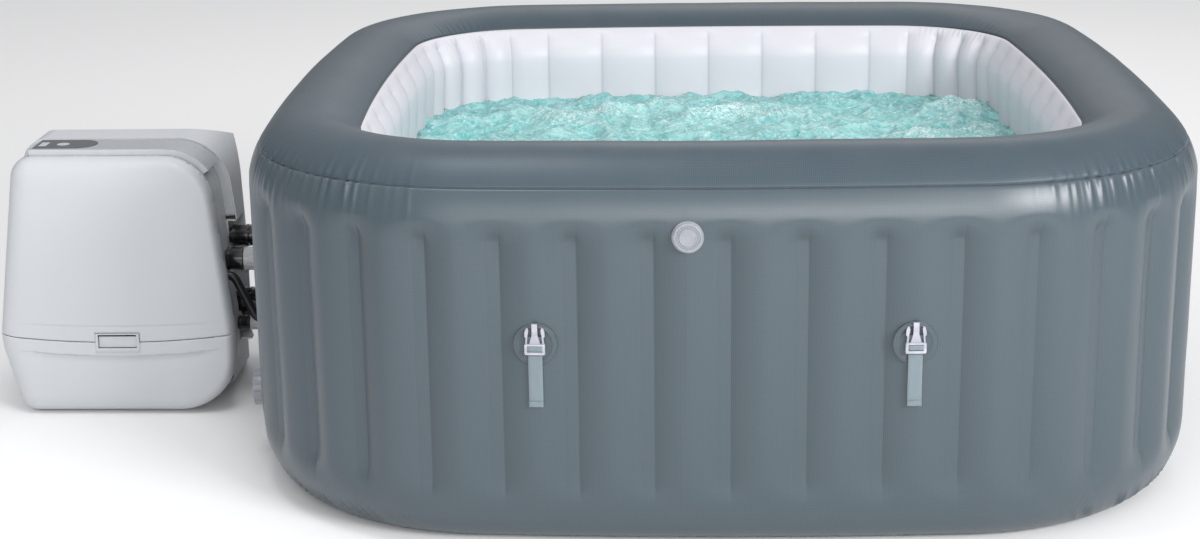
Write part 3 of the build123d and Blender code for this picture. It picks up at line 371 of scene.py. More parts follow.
@dataclass(frozen=True)
class WovenWebbing(Finish):
    """Ribbed webbing with painted shade in the gap between its threads."""

    # Colour of the painted shade between the threads.
    gap: Colour = (0.18, 0.21, 0.23)
    pitch: float = 0.0016
    rib_depth: float = 0.0004

    def wire(self, graph: Graph, shader: bpy.types.Node) -> None:
        """Wire the ribs and threads."""
        grain = self.place_grain(graph)
        weave = self.place_weave(graph, self.pitch, 0.5)
        # Painted shade: the gap colour darkens the webbing between its threads.
        colour = graph.blend(weave.outputs["Thread"], self.gap, self.tinted(graph, self.colour, grain))
        self.finish_wiring(graph, shader, colour, weave.outputs["Height"], self.rib_depth)


@dataclass(frozen=True)
class TwoTonePlastic(Finish):
    """Moulded plastic whose top is another colour than its front face."""

    top: Colour = (0.3, 0.31, 0.33)

    def wire(self, graph: Graph, shader: bpy.types.Node) -> None:
        """Wire the two colours by which way the surface faces."""
        grain = self.place_grain(graph)
        parts = graph.node("ShaderNodeSeparateXYZ")
        graph.feed(parts.inputs[0], graph.node("ShaderNodeNewGeometry").outputs["Normal"])
        front = graph.span(parts.outputs["Y"], -0.6, -0.4)
        colour = graph.blend(front, self.colour, self.top)
        colour = self.tinted(graph, colour, grain)
        self.finish_wiring(graph, shader, colour, grain.outputs["Height"], self.depth)


@dataclass(frozen=True)
class BubblingWater(Finish):
    """Aerated water: turquoise, with pale streaks of painted caustic light, white specks that are bubbles
    with painted glints, and white foam.
    """

    deep: Colour = (0.05, 0.3, 0.3)
    # Pale tone of the painted caustic light.
    painted_caustic_pale: Colour = (0.5, 0.85, 0.8)
    foam: Colour = (0.74, 0.82, 0.82)

    def wire(self, graph: Graph, shader: bpy.types.Node) -> None:
        """Wire the painted caustic streaks, the bubbles with painted glints, and the foam."""
        where = graph.place_on_object()
        painted_caustic_streak = graph.noise(where, 16.0, 5, 1.6)
        ripple = graph.noise(where, 46.0, 5, 2.2)
        speck = graph.noise(where, 150.0, 4, 0.8)
        crest = graph.attribute("foam")
        colour = graph.blend(graph.span(ripple, 0.38, 0.6), self.deep, self.colour)
        # Painted caustic light: pale streaks across the water.
        colour = graph.blend(graph.span(painted_caustic_streak, 0.45, 0.7, 0.0, 0.85), colour, self.painted_caustic_pale)
        # White specks: bubbles, with painted glints.
        bubbles_and_glints = graph.sums("MULTIPLY", graph.span(speck, 0.56, 0.68), graph.span(ripple, 0.42, 0.62))
        colour = graph.blend(graph.sums("MULTIPLY", bubbles_and_glints, 0.75), colour, self.foam)
        froth = graph.sums("MULTIPLY", crest, graph.span(speck, 0.4, 0.62))
        colour = graph.blend(froth, colour, self.foam)
        graph.feed(shader.inputs["Base Color"], colour)
        rough = graph.sums("ADD", graph.sums("MULTIPLY", froth, 0.5), self.roughness)
        graph.feed(shader.inputs["Roughness"], rough)
        bump = graph.node("ShaderNodeBump")
        bump.inputs["Strength"].default_value = 0.8
        bump.inputs["Distance"].default_value = 0.004
        graph.feed(bump.inputs["Height"], graph.sums("ADD", ripple, graph.sums("MULTIPLY", speck, 0.35)))
        graph.feed(shader.inputs["Normal"], bump.outputs["Normal"])


class Kit(Enum):
    """Every finish on the tub, and the record's slot it belongs to."""

    # The crease colours below are painted shade for welds, seams and creases.
    WALL = (LaminatedVinyl("slate_vinyl", tone(53, 68, 77), 0.34, sheen=0.04, specular=0.7, wear=0.05,
                           spread=0.1, worn=tone(120, 130, 136), dust=0.02, painted_crease_shade=tone(38, 46, 52)),
            "grey_vinyl")
    # The rim is the wall's vinyl painted darker and bluer: painted shade for its upward-facing top, which the
    # lights reach little.
    RIM = (LaminatedVinyl("slate_rim_vinyl_painted_shade", tone(46, 63, 74), 0.44, sheen=0.03, wear=0.05, spread=0.1,
                          worn=tone(116, 128, 136), dust=0.02, painted_crease_shade=tone(38, 46, 52)), "grey_vinyl")
    LINER = (LaminatedVinyl("white_liner_vinyl", tone(208, 206, 212), 0.42, wear=0.0, spread=0.04,
                            dust=0.0, painted_crease_shade=tone(168, 166, 178), painted_crease_shade_share=0.8), "white_liner")
    PAD = (LaminatedVinyl("pad_foam_sheet", tone(205, 214, 216), 0.6, wear=0.0, spread=0.08,
                          painted_crease_shade=tone(150, 158, 162), pitch=0.004), "floor_foam")
    BASE = (LaminatedVinyl("base_vinyl", tone(60, 66, 70), 0.62, wear=0.1, spread=0.12,
                           painted_crease_shade=tone(30, 34, 36)), "base_vinyl")
    # The gap colours of the two webbing finishes are painted shade between threads.
    WEB = (WovenWebbing("web_mesh_fabric", tone(222, 222, 218), 0.75, spread=0.08, wear=0.0, dust=0.0,
                        gap=tone(170, 170, 165), pitch=0.0042), "web_mesh")
    STRAP = (WovenWebbing("strap_webbing", tone(150, 164, 170), 0.78, sheen=0.2, spread=0.16, wear=0.0,
                          dust=0.0, gap=tone(84, 98, 106)), "webbing")
    THREAD = (Finish("stitching_thread", tone(120, 136, 142), 0.7, sheen=0.2, grain=4000.0), "webbing")
    BUCKLE = (Finish("buckle_plastic", tone(158, 158, 170), 0.4, specular=0.55, wear=0.3,
                     worn=tone(238, 236, 242)), "buckle_grey")
    FITTING = (Finish("fitting_plastic_grey", tone(140, 143, 150), 0.3, specular=0.55, wear=0.2,
                      worn=tone(235, 235, 240)), "fitting_grey")
    FITTING_WHITE = (Finish("fitting_plastic_white", tone(228, 229, 232), 0.34, wear=0.15), "fitting_white")
    HOSE_WHITE = (Finish("hose_vinyl_white", tone(214, 216, 216), 0.45), "hose_white")
    CASE = (Finish("case_plastic", tone(194, 197, 201), 0.4, specular=0.45, grain=1500.0, depth=0.00003,
                   spread=0.03, wear=0.12, worn=tone(226, 229, 232), dust=0.02), "case_shell")
    BAR = (TwoTonePlastic("bar_plastic", tone(186, 190, 194), 0.38, grain=1500.0, depth=0.00003,
                          spread=0.03, wear=0.1, worn=tone(226, 229, 232), dust=0.02,
                          top=tone(160, 164, 168)), "case_shell")
    # The channel's grey is painted paler than its own tone: painted light making up for the shade in the gap
    # between the covers.
    CHANNEL = (Finish("channel_plastic_painted_light", tone(214, 216, 218), 0.42, grain=1400.0, spread=0.04, wear=0.1,
                      worn=tone(216, 218, 220)), "channel_grey")
    CHASSIS = (Finish("chassis_plastic", tone(96, 100, 104), 0.5, spread=0.1), "chassis_grey")
    RUBBER = (Finish("foot_rubber_black", tone(38, 38, 40), 0.72, depth=0.0002, wear=0.4,
                     worn=tone(84, 84, 86)), "foot_rubber")
    PANEL = (Finish("panel_lens_dark", tone(62, 67, 72), 0.22, coat=0.3, spread=0.05, wear=0.0), "panel_dark")
    LIGHTS = (Finish("panel_window_light", tone(196, 204, 206), 0.2, coat=0.4, spread=0.04), "panel_light")
    STEEL = (Finish("screw_steel_zinc", tone(176, 178, 180), 0.34, metallic=1.0, grain=2200.0, wear=0.3,
                    worn=tone(222, 222, 224)), "screw_steel")
    COUPLING = (Finish("coupling_gloss_black", tone(24, 24, 26), 0.16, coat=0.5, wear=0.25,
                       worn=tone(92, 94, 98)), "coupling_black")
    HOSE = (Finish("hose_rubber_black", tone(30, 30, 32), 0.34, wear=0.2, worn=tone(80, 82, 86)),
            "hose_black")
    NUT = (Finish("nut_clear_plastic", tone(226, 229, 232), 0.12, transmission=0.55, ior=1.49, spread=0.03,
                  wear=0.1, dust=0.0), "nut_clear")
    HEATER = (Finish("heater_tube_steel", tone(188, 188, 186), 0.26, metallic=1.0, grain=1800.0, wear=0.2),
              "heater_steel")
    BOARD = (Finish("board_resin_green", tone(38, 92, 58), 0.38, coat=0.3, spread=0.2, grain=500.0),
             "board_green")
    MOTOR = (Finish("motor_cast_metal", tone(128, 132, 136), 0.48, metallic=0.85, depth=0.00015, spread=0.16,
                    wear=0.4, worn=tone(190, 192, 196)), "motor_metal")
    WHEEL = (Finish("wheel_plastic_black", tone(52, 54, 58), 0.4, spread=0.1), "wheel_plastic")
    # The pale tone here is painted caustic light.
    WATER = (BubblingWater("bubbling_water", tone(132, 190, 190), 0.12, ior=1.33, deep=tone(102, 170, 170),
                           painted_caustic_pale=tone(162, 212, 210)), "")
    FLOOR = (Finish("studio_floor", tone(250, 250, 250), 0.8, specular=0.1, grain=40.0, depth=0.00002,
                    spread=0.01, wear=0.0, dust=0.0), "")

    @property
    def finish(self) -> Finish:
        """The finish itself."""
        return self.value[0]

    def dress(self, piece: bpy.types.Object) -> bpy.types.Object:
        """Give piece this finish."""
        made = self.finish.build()
        if not piece.data.materials:
            piece.data.materials.append(made)
        for holder in piece.material_slots:
            holder.material = made
        return piece


# ------------------------------------------------------------------ mesh making

def grid_faces(columns: int, rows: int, closed: bool) -> list[list[int]]:
    """Quads of a grid stored column by column, joined round if closed."""
    last = columns if closed else columns - 1
    i = np.arange(last)[:, None] * rows
    k = ((np.arange(last) + 1) % columns)[:, None] * rows
    j = np.arange(rows - 1)[None, :]
    quads = np.stack([i + j, k + j, k + j + 1, i + j + 1], axis=-1)
    return quads.reshape(-1, 4).tolist()


def store(mesh: bpy.types.Mesh, name: str, values: Array) -> None:
    """Store one value or vector for each vertex of mesh."""
    flat = np.asarray(values, np.float32)
    vector = flat.ndim == 2
    layer = mesh.attributes.new(name, "FLOAT_VECTOR" if vector else "FLOAT", "POINT")
    layer.data.foreach_set("vector" if vector else "value", flat.ravel())


def add_object(name: str, data: bpy.types.ID) -> bpy.types.Object:
    """Put a new object with this data in the scene."""
    made = bpy.data.objects.new(name, data)
    bpy.context.scene.collection.objects.link(made)
    return made


def as_points(xy: Array, z: Array) -> Array:
    """Plan points and their heights as one list of points."""
    return np.concatenate([xy, z[..., None]], -1).reshape(-1, 3)


def make_piece(name: str, points: Array, faces: Sequence[Sequence[int]], kit: Kit, body: str,
               replaced: Iterable[str] = (), stored: dict[str, Array] | None = None) -> bpy.types.Object:
    """Make one smooth-shaded mesh piece, dressed and riding on its body.

    Args:
        name: the piece's name.
        points: its vertices, in metres in the row frame.
        faces: its faces.
        kit: its finish.
        body: the CAD body that it rides on.
        replaced: CAD nodes that it stands for.
        stored: values to store on its vertices, by name.

    Returns:
        The new object.
    """
    mesh = bpy.data.meshes.new(name)
    mesh.from_pydata(np.asarray(points, float).tolist(), [], faces)
    mesh.shade_smooth()
    for key, values in (stored or {}).items():
        store(mesh, key, values)
    mesh.validate()
    piece = add_object(name, mesh)
    kit.dress(piece)
    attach(piece, body)
    if replaced:
        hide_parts(*replaced)
    return piece


def thicken(piece: bpy.types.Object, thickness: float) -> bpy.types.Object:
    """Give a sheet its thickness, on the side away from its face."""
    solid = piece.modifiers.new("thickness", "SOLIDIFY")
    solid.thickness = thickness
    solid.offset = -1.0
    return piece


# ------------------------------------------------------------------ plan of the tub

@dataclass(frozen=True)
class Outline:
    """Plan of the tub: a bowed square with round corners, measured round from mid-front."""

    half: float = 0.900
    bow_radius: float = 7.330
    corner_radius: float = 0.471
    webs_per_quarter: int = 12

    @property
    def bow_offset(self) -> float:
        """How far a side's arc centre lies beyond the plan's centre."""
        return self.bow_radius - self.half

    @property
    def corner_centre(self) -> float:
        """Both coordinates of a corner's centre."""
        offset, reach = self.bow_offset, self.bow_radius - self.corner_radius
        return (-2 * offset + math.sqrt(4 * offset**2 - 8 * (offset**2 - reach**2))) / 4

    @property
    def tangent(self) -> float:
        """Angle at which a side meets its corner."""
        return math.atan2(self.corner_centre, self.corner_centre + self.bow_offset)

    @property
    def half_side(self) -> float:
        """Length from mid-side to the corner's start."""
        return self.bow_radius * self.tangent

    @property
    def quarter(self) -> float:
        """Length from one mid-side to the next."""
        return 2 * self.half_side + self.corner_radius * (math.pi / 2 - 2 * self.tangent)

    @property
    def step(self) -> float:
        """Distance between two welds."""
        return self.quarter / self.webs_per_quarter

    def rest_of(self, along: Array) -> Array:
        """Signed distance from the nearest mid-side."""
        return along - np.round(along / self.quarter) * self.quarter

    def at(self, along: Array) -> tuple[Array, Array]:
        """Points of the outline and its outward normals.

        Args:
            along: distances round the outline.

        Returns:
            Two arrays of one (x, y) a distance.
        """
        along = np.asarray(along, float)
        rest = self.rest_of(along)
        sign, reach = np.where(rest >= 0, 1.0, -1.0), np.abs(rest)
        bowed = reach / self.bow_radius
        round_corner = self.tangent + (reach - self.half_side) / self.corner_radius
        turn = np.where(reach <= self.half_side, bowed, round_corner)
        radius = np.where(reach <= self.half_side, self.bow_radius, self.corner_radius)
        cx = np.where(reach <= self.half_side, 0.0, self.corner_centre)
        cy = np.where(reach <= self.half_side, self.bow_offset, -self.corner_centre)
        x, y = sign * (cx + radius * np.sin(turn)), cy - radius * np.cos(turn)
        nx, ny = sign * np.sin(turn), -np.cos(turn)
        side = np.round(along / self.quarter) * math.pi / 2
        c, s = np.cos(side), np.sin(side)
        points = np.stack([c * x - s * y, s * x + c * y], -1)
        return points, np.stack([c * nx - s * ny, s * nx + c * ny], -1)

    def corner_share(self, along: Array) -> Array:
        """0 on the sides, 1 well inside a corner."""
        reach = np.abs(self.rest_of(along)) - self.half_side
        return smooth(0.05, 0.2, reach)

    def place(self, along: float, height: float = 0.0) -> Matrix:
        """Matrix of a fitting on the outer skin: local -Y points out of the wall, local Z up."""
        point, normal = self.at(np.array([along]))
        turn = math.atan2(normal[0, 0], -normal[0, 1])
        return Matrix.Translation((*point[0], height)) @ Matrix.Rotation(turn, 4, "Z")

    def station_columns(self) -> Array:
        """Distances of the mesh columns, closer together beside each weld."""
        near = [0.0, 0.004, 0.008, 0.0100, 0.0112, 0.0124, 0.0142, 0.0166]
        half = self.step / 2
        even = np.linspace(0.0195, half, 11)
        side = np.array([*near, *even])
        panel = np.concatenate([-side[:0:-1], side[:-1]])
        starts = np.arange(4 * self.webs_per_quarter) * self.step
        return (starts[:, None] + panel[None, :]).ravel()


OUTLINE = Outline()


@dataclass(frozen=True)
class Puckers:
    """Short gathers of slack vinyl beside a seam, on the round corners."""

    height: float
    reach: float
    seed: int
    spacing: float = 0.027
    swell: float = 0.0034
    width: float = 0.0052
    slant: float = 0.0

    def relief(self, along: Array, heights: Array) -> Array:
        """Swell of the gathers at each column and row.

        Args:
            along: distances round the outline, one a column.
            heights: distances of the rows from the floor.

        Returns:
            Array of columns by rows, in metres.
        """
        random = np.random.default_rng(self.seed)
        total = np.zeros((len(along), len(heights)))
        lead = heights[None, :] - self.height
        for corner in range(4):
            middle = (corner + 0.5) * OUTLINE.quarter
            for place in np.arange(-PUCKER_HALF_RUN, PUCKER_HALF_RUN, self.spacing):
                centre = middle + place + random.uniform(-0.3, 0.3) * self.spacing
                swell = self.swell * random.uniform(0.35, 1.25)
                length = self.reach * random.uniform(0.6, 1.15)
                width = self.width * random.uniform(0.8, 1.3)
                near = np.abs(self.wrapped(along, centre)) < 0.08
                off = self.wrapped(along[near], centre)[:, None] + self.slant * lead
                beside = bell(off, 1.7 * width, width) + bell(off, -1.7 * width, width)
                ridge = bell(off, 0, width) - 0.4 * beside
                fade = np.exp(-np.abs(lead) / length) * smooth(0.0, 0.004, np.abs(lead))
                total[near] += swell * ridge * fade
        return total * OUTLINE.corner_share(along)[:, None]

    @staticmethod
    def wrapped(along: Array, centre: float) -> Array:
        """Distance from centre the shorter way round."""
        whole = 4 * OUTLINE.quarter
        return (along - centre + whole / 2) % whole - whole / 2


# ------------------------------------------------------------------ inflated wall

@dataclass
class InflatedWall:
    """The three skins of the ring, swollen between the welds of its inner webs."""

    foot_inset: float = 0.091
    foot_rise: float = 0.140
    shoulder_inset: float = 0.111
    shoulder_z: float = 0.5575
    crown_z: float = 0.710
    seam_z: float = 0.650
    slope_radius: float = 0.1514
    lip_inset: float = 0.2146
    liner_inset: float = 0.250
    liner_top_z: float = 0.600
    liner_foot_z: float = 0.004
    skin: float = 0.0015
    weld_band: float = 0.0112
    weld_depth: float = 0.0165
    weld_span: tuple[float, float] = (0.104, 0.572)
    weld_round_share: float = 0.72
    panel_power: float = 1.7
    seam_groove: float = 0.0009
    seam_width: float = 0.0026
    liner_weld: float = 0.0105
    liner_corner_weld: float = 0.0075
    liner_power: float = 2.2
    liner_bulge: float = 0.005
    lowest_z: float = 0.0004

    def build(self) -> None:
        """Make all three skins."""
        for piece in (self.outer(), self.rim(), self.liner()):
            thicken(piece, self.skin)
            LOG.info("skin %s: %d vertices", piece.name, len(piece.data.vertices))

    def foot_and_side(self) -> tuple[Array, Array]:
        """Insets and heights from the ground to the seam."""
        foot = np.linspace(0, math.pi / 2, 17)
        inset = self.foot_inset * (1 - np.sin(foot))
        rise = self.foot_rise * (1 - np.cos(foot))
        side_z = np.linspace(self.foot_rise, self.shoulder_z, 21)[1:]
        end = math.asin((self.seam_z - self.shoulder_z) / (self.crown_z - self.shoulder_z))
        arc = np.linspace(0, end, 26)[1:]
        over = self.shoulder_inset * (1 - np.cos(arc))
        up = self.shoulder_z + (self.crown_z - self.shoulder_z) * np.sin(arc)
        return (np.concatenate([inset, np.zeros(len(side_z)), over]), np.concatenate([rise, side_z, up]))

    def over_the_top(self) -> tuple[Array, Array]:
        """Insets and heights from the seam over the crown to the lip."""
        start = math.asin((self.seam_z - self.shoulder_z) / (self.crown_z - self.shoulder_z))
        arc = np.linspace(start, math.pi / 2, 22)
        over = self.shoulder_inset * (1 - np.cos(arc))
        up = self.shoulder_z + (self.crown_z - self.shoulder_z) * np.sin(arc)
        end = math.asin((self.lip_inset - self.shoulder_inset) / self.slope_radius)
        slope = np.linspace(0, end, 16)[1:]
        inner = self.shoulder_inset + self.slope_radius * np.sin(slope)
        down = self.crown_z - self.slope_radius * (1 - np.cos(slope))
        return np.concatenate([over, inner]), np.concatenate([up, down])

    @property
    def lip_z(self) -> float:
        """Height of the weld between the rim and the liner."""
        run = self.lip_inset - self.shoulder_inset
        return self.crown_z - self.slope_radius + math.sqrt(self.slope_radius**2 - run**2)

    def down_the_liner(self) -> tuple[Array, Array]:
        """Insets and heights from the lip down to the floor."""
        run, drop = self.liner_inset - self.lip_inset, self.lip_z - self.liner_top_z
        radius = (run**2 + drop**2) / (2 * run)
        arc = np.linspace(math.asin(drop / radius), 0, 18)
        bend = self.liner_inset - radius * (1 - np.cos(arc))
        bend_z = self.liner_top_z + radius * np.sin(arc)
        down = np.linspace(self.liner_top_z, self.liner_foot_z, 28)[1:]
        return (np.concatenate([bend, np.full(len(down), self.liner_inset)]), np.concatenate([bend_z, down]))

    def loft(self, name: str, profile: tuple[Array, Array],
             relief: Callable[[Array, Array], tuple[Array, Array]], kit: Kit, node: str) -> bpy.types.Object:
        """Carry a profile round the outline and swell it.

        Args:
            name: the piece's name.
            profile: insets and heights of its rows.
            relief: gives the swell and the mask of painted crease shade from columns and heights.
            kit: its finish.
            node: the CAD node that it stands for.

        Returns:
            The open skin.
        """
        inset, height = profile
        along = OUTLINE.station_columns()
        point, normal = OUTLINE.at(along)
        d_in, d_z = np.gradient(inset), np.gradient(height)
        length = np.hypot(d_in, d_z)
        out, up = d_z / length, d_in / length
        # The second value is the mask of painted crease shade.
        swell, painted_crease_shade = relief(along, height)
        reach = swell * out[None, :] - inset[None, :]
        xy = point[:, None, :] + normal[:, None, :] * reach[..., None]
        z = np.maximum(height[None, :] + swell * up[None, :], self.lowest_z)
        points = as_points(xy, z)
        run = np.concatenate([[0.0], np.cumsum(np.hypot(np.diff(inset), np.diff(height)))])
        cloth = np.stack([np.repeat(along, len(height)), np.tile(run, len(along)), np.zeros(len(points))], -1)
        faces = grid_faces(len(along), len(height), True)
        stored = {"painted_crease_shade": painted_crease_shade.ravel(), "cloth": cloth}
        return make_piece(name, points, faces, kit, "pool", [node], stored)

    @staticmethod
    def offset_in_panel(along: Array) -> Array:
        """Signed distance of each column from its nearest weld."""
        return along - np.round(along / OUTLINE.step) * OUTLINE.step

    @staticmethod
    def unevenness(along: Array, height: Array) -> Array:
        """Slow, slight waves of a skin under pressure."""
        a = lattice_noise(along[:, None], height[None, :], 5.0, 11)
        b = lattice_noise(along[:, None], height[None, :], 13.0, 12)
        return 0.0016 * (a - 0.5) + 0.0006 * (b - 0.5)

    def outer_relief(self, along: Array, height: Array) -> tuple[Array, Array]:
        """Weld bands with swollen panels between, gathers at the corners, and the seam, with painted shade
        along the weld edges, at the weld tops and on the seam.
        """
        off = self.offset_in_panel(along)
        half, band = OUTLINE.step / 2, self.weld_band
        flank = np.clip(1 - (np.abs(off) - band) / (half - band), 0, 1) ** self.panel_power
        in_band = 0.86 + 0.14 * np.clip(off / band, -1, 1)
        either_side = np.where(off > 0, 1.0, self.weld_round_share)
        valley = np.where(np.abs(off) <= band, in_band, either_side * flank)
        low, high = self.weld_span
        fade = smooth(low - 0.022, low + 0.035, height) * (1 - smooth(high - 0.022, high + 0.03, height))
        swell = -self.weld_depth * valley[:, None] * fade[None, :]
        pinch = bell(off, 0.0, 0.011)[:, None] * bell(height, high - 0.006, 0.014)[None, :]
        swell -= 0.0036 * pinch
        swell += self.unevenness(along, height) * smooth(0.02, 0.1, height)[None, :]
        swell += Puckers(self.seam_z, 0.034, PUCKER_SEED, swell=0.0054).relief(along, height)
        foot = Puckers(0.036, 0.022, PUCKER_SEED + 1, spacing=0.024, swell=0.0032, width=0.0046, slant=0.9)
        swell += foot.relief(along, height) * smooth(0.003, 0.02, height)[None, :]
        swell -= self.seam_groove * bell(height, self.seam_z, self.seam_width)[None, :]
        # Painted shade: a dark line at each weld's edges, a dark spot at each weld's top and a thin line on
        # the seam.
        right = bell(off, band, 0.0011) + 0.35 * bell(off, -band, 0.002)
        line_fade = smooth(low - 0.005, low + 0.03, height) * (1 - smooth(high - 0.012, high + 0.004, height))
        painted_crease_shade = 0.5 * right[:, None] * line_fade[None, :] + 0.3 * bell(height, self.seam_z, 0.0010)[None, :]
        painted_crease_shade += 0.5 * bell(off, 0.0, 0.010)[:, None] * bell(height, high - 0.004, 0.010)[None, :]
        return swell, np.clip(painted_crease_shade, 0, 1)

    def rim_relief(self, along: Array, height: Array) -> tuple[Array, Array]:
        """Smooth crown, gathered a little above the seam, with the seam's groove, and painted shade along the
        seam and the lip.
        """
        swell = self.unevenness(along, height)
        outside = (np.arange(len(height)) < len(height) // 2)[None, :]
        gathers = Puckers(self.seam_z, 0.018, PUCKER_SEED, swell=0.0040)
        swell += np.where(outside, gathers.relief(along, height), 0.0)
        groove = self.seam_groove * bell(height, self.seam_z, self.seam_width)
        swell -= np.where(outside, groove[None, :], 0.0)
        inner = Puckers(self.lip_z, 0.012, PUCKER_SEED + 2, spacing=0.03, swell=0.0015)
        swell += np.where(outside, 0.0, inner.relief(along, height))
        # Painted shade along the seam and along the lip's weld.
        seam = np.where(outside, 0.2 * bell(height, self.seam_z, 0.0008)[None, :], 0.0)
        lip = np.where(outside, 0.0, bell(height, self.lip_z, 0.002)[None, :])
        painted_crease_shade = np.broadcast_to(seam + 0.7 * lip, swell.shape)
        return swell, np.clip(painted_crease_shade, 0, 1)

    def liner_relief(self, along: Array, height: Array) -> tuple[Array, Array]:
        """Plump liner panels with a thin crease at each weld, deeper in the corners, and painted shade along
        each weld, darker in the corners.
        """
        off = self.offset_in_panel(along)
        share = np.abs(off) / (OUTLINE.step / 2)
        corner = OUTLINE.corner_share(along)
        lean = np.where(off > 0, 1.0, 0.8)
        valley = (1 - share) ** self.liner_power * lean
        fade = 1 - smooth(self.lip_z - 0.022, self.lip_z - 0.002, height)
        fade *= smooth(0.02, 0.09, height)
        depth = self.liner_weld + self.liner_corner_weld * corner
        swell = -(depth * valley)[:, None] * fade[None, :]
        swell += self.liner_bulge * bell(height, self.liner_top_z - 0.01, 0.05)[None, :]
        swell += self.unevenness(along, height) * fade[None, :]
        top = Puckers(self.lip_z, 0.016, PUCKER_SEED + 3, spacing=0.026, swell=0.0018)
        swell += top.relief(along, height)
        # Painted shade: a thin dark line at each weld and a wider darkening round it, stronger in the
        # corners.
        line = bell(off, 0.0, 0.0022)[:, None] * fade[None, :]
        painted_crease_shade = 0.55 * line + 0.25 * (bell(off, 0.0, 0.012) * (0.4 + corner))[:, None] * fade[None, :]
        return swell, np.clip(painted_crease_shade, 0, 1)

    def outer(self) -> bpy.types.Object:
        """Outer skin, ground to seam."""
        return self.loft("outer_skin", self.foot_and_side(), self.outer_relief, Kit.WALL, "outer_wall")

    def rim(self) -> bpy.types.Object:
        """Rim skin, seam to lip."""
        return self.loft("rim_skin", self.over_the_top(), self.rim_relief, Kit.RIM, "top_rim")

    def liner(self) -> bpy.types.Object:
        """Liner skin, lip to floor."""
        return self.loft("liner_skin", self.down_the_liner(), self.liner_relief, Kit.LINER, "inner_wall")


# ------------------------------------------------------------------ floor, webs and air channel

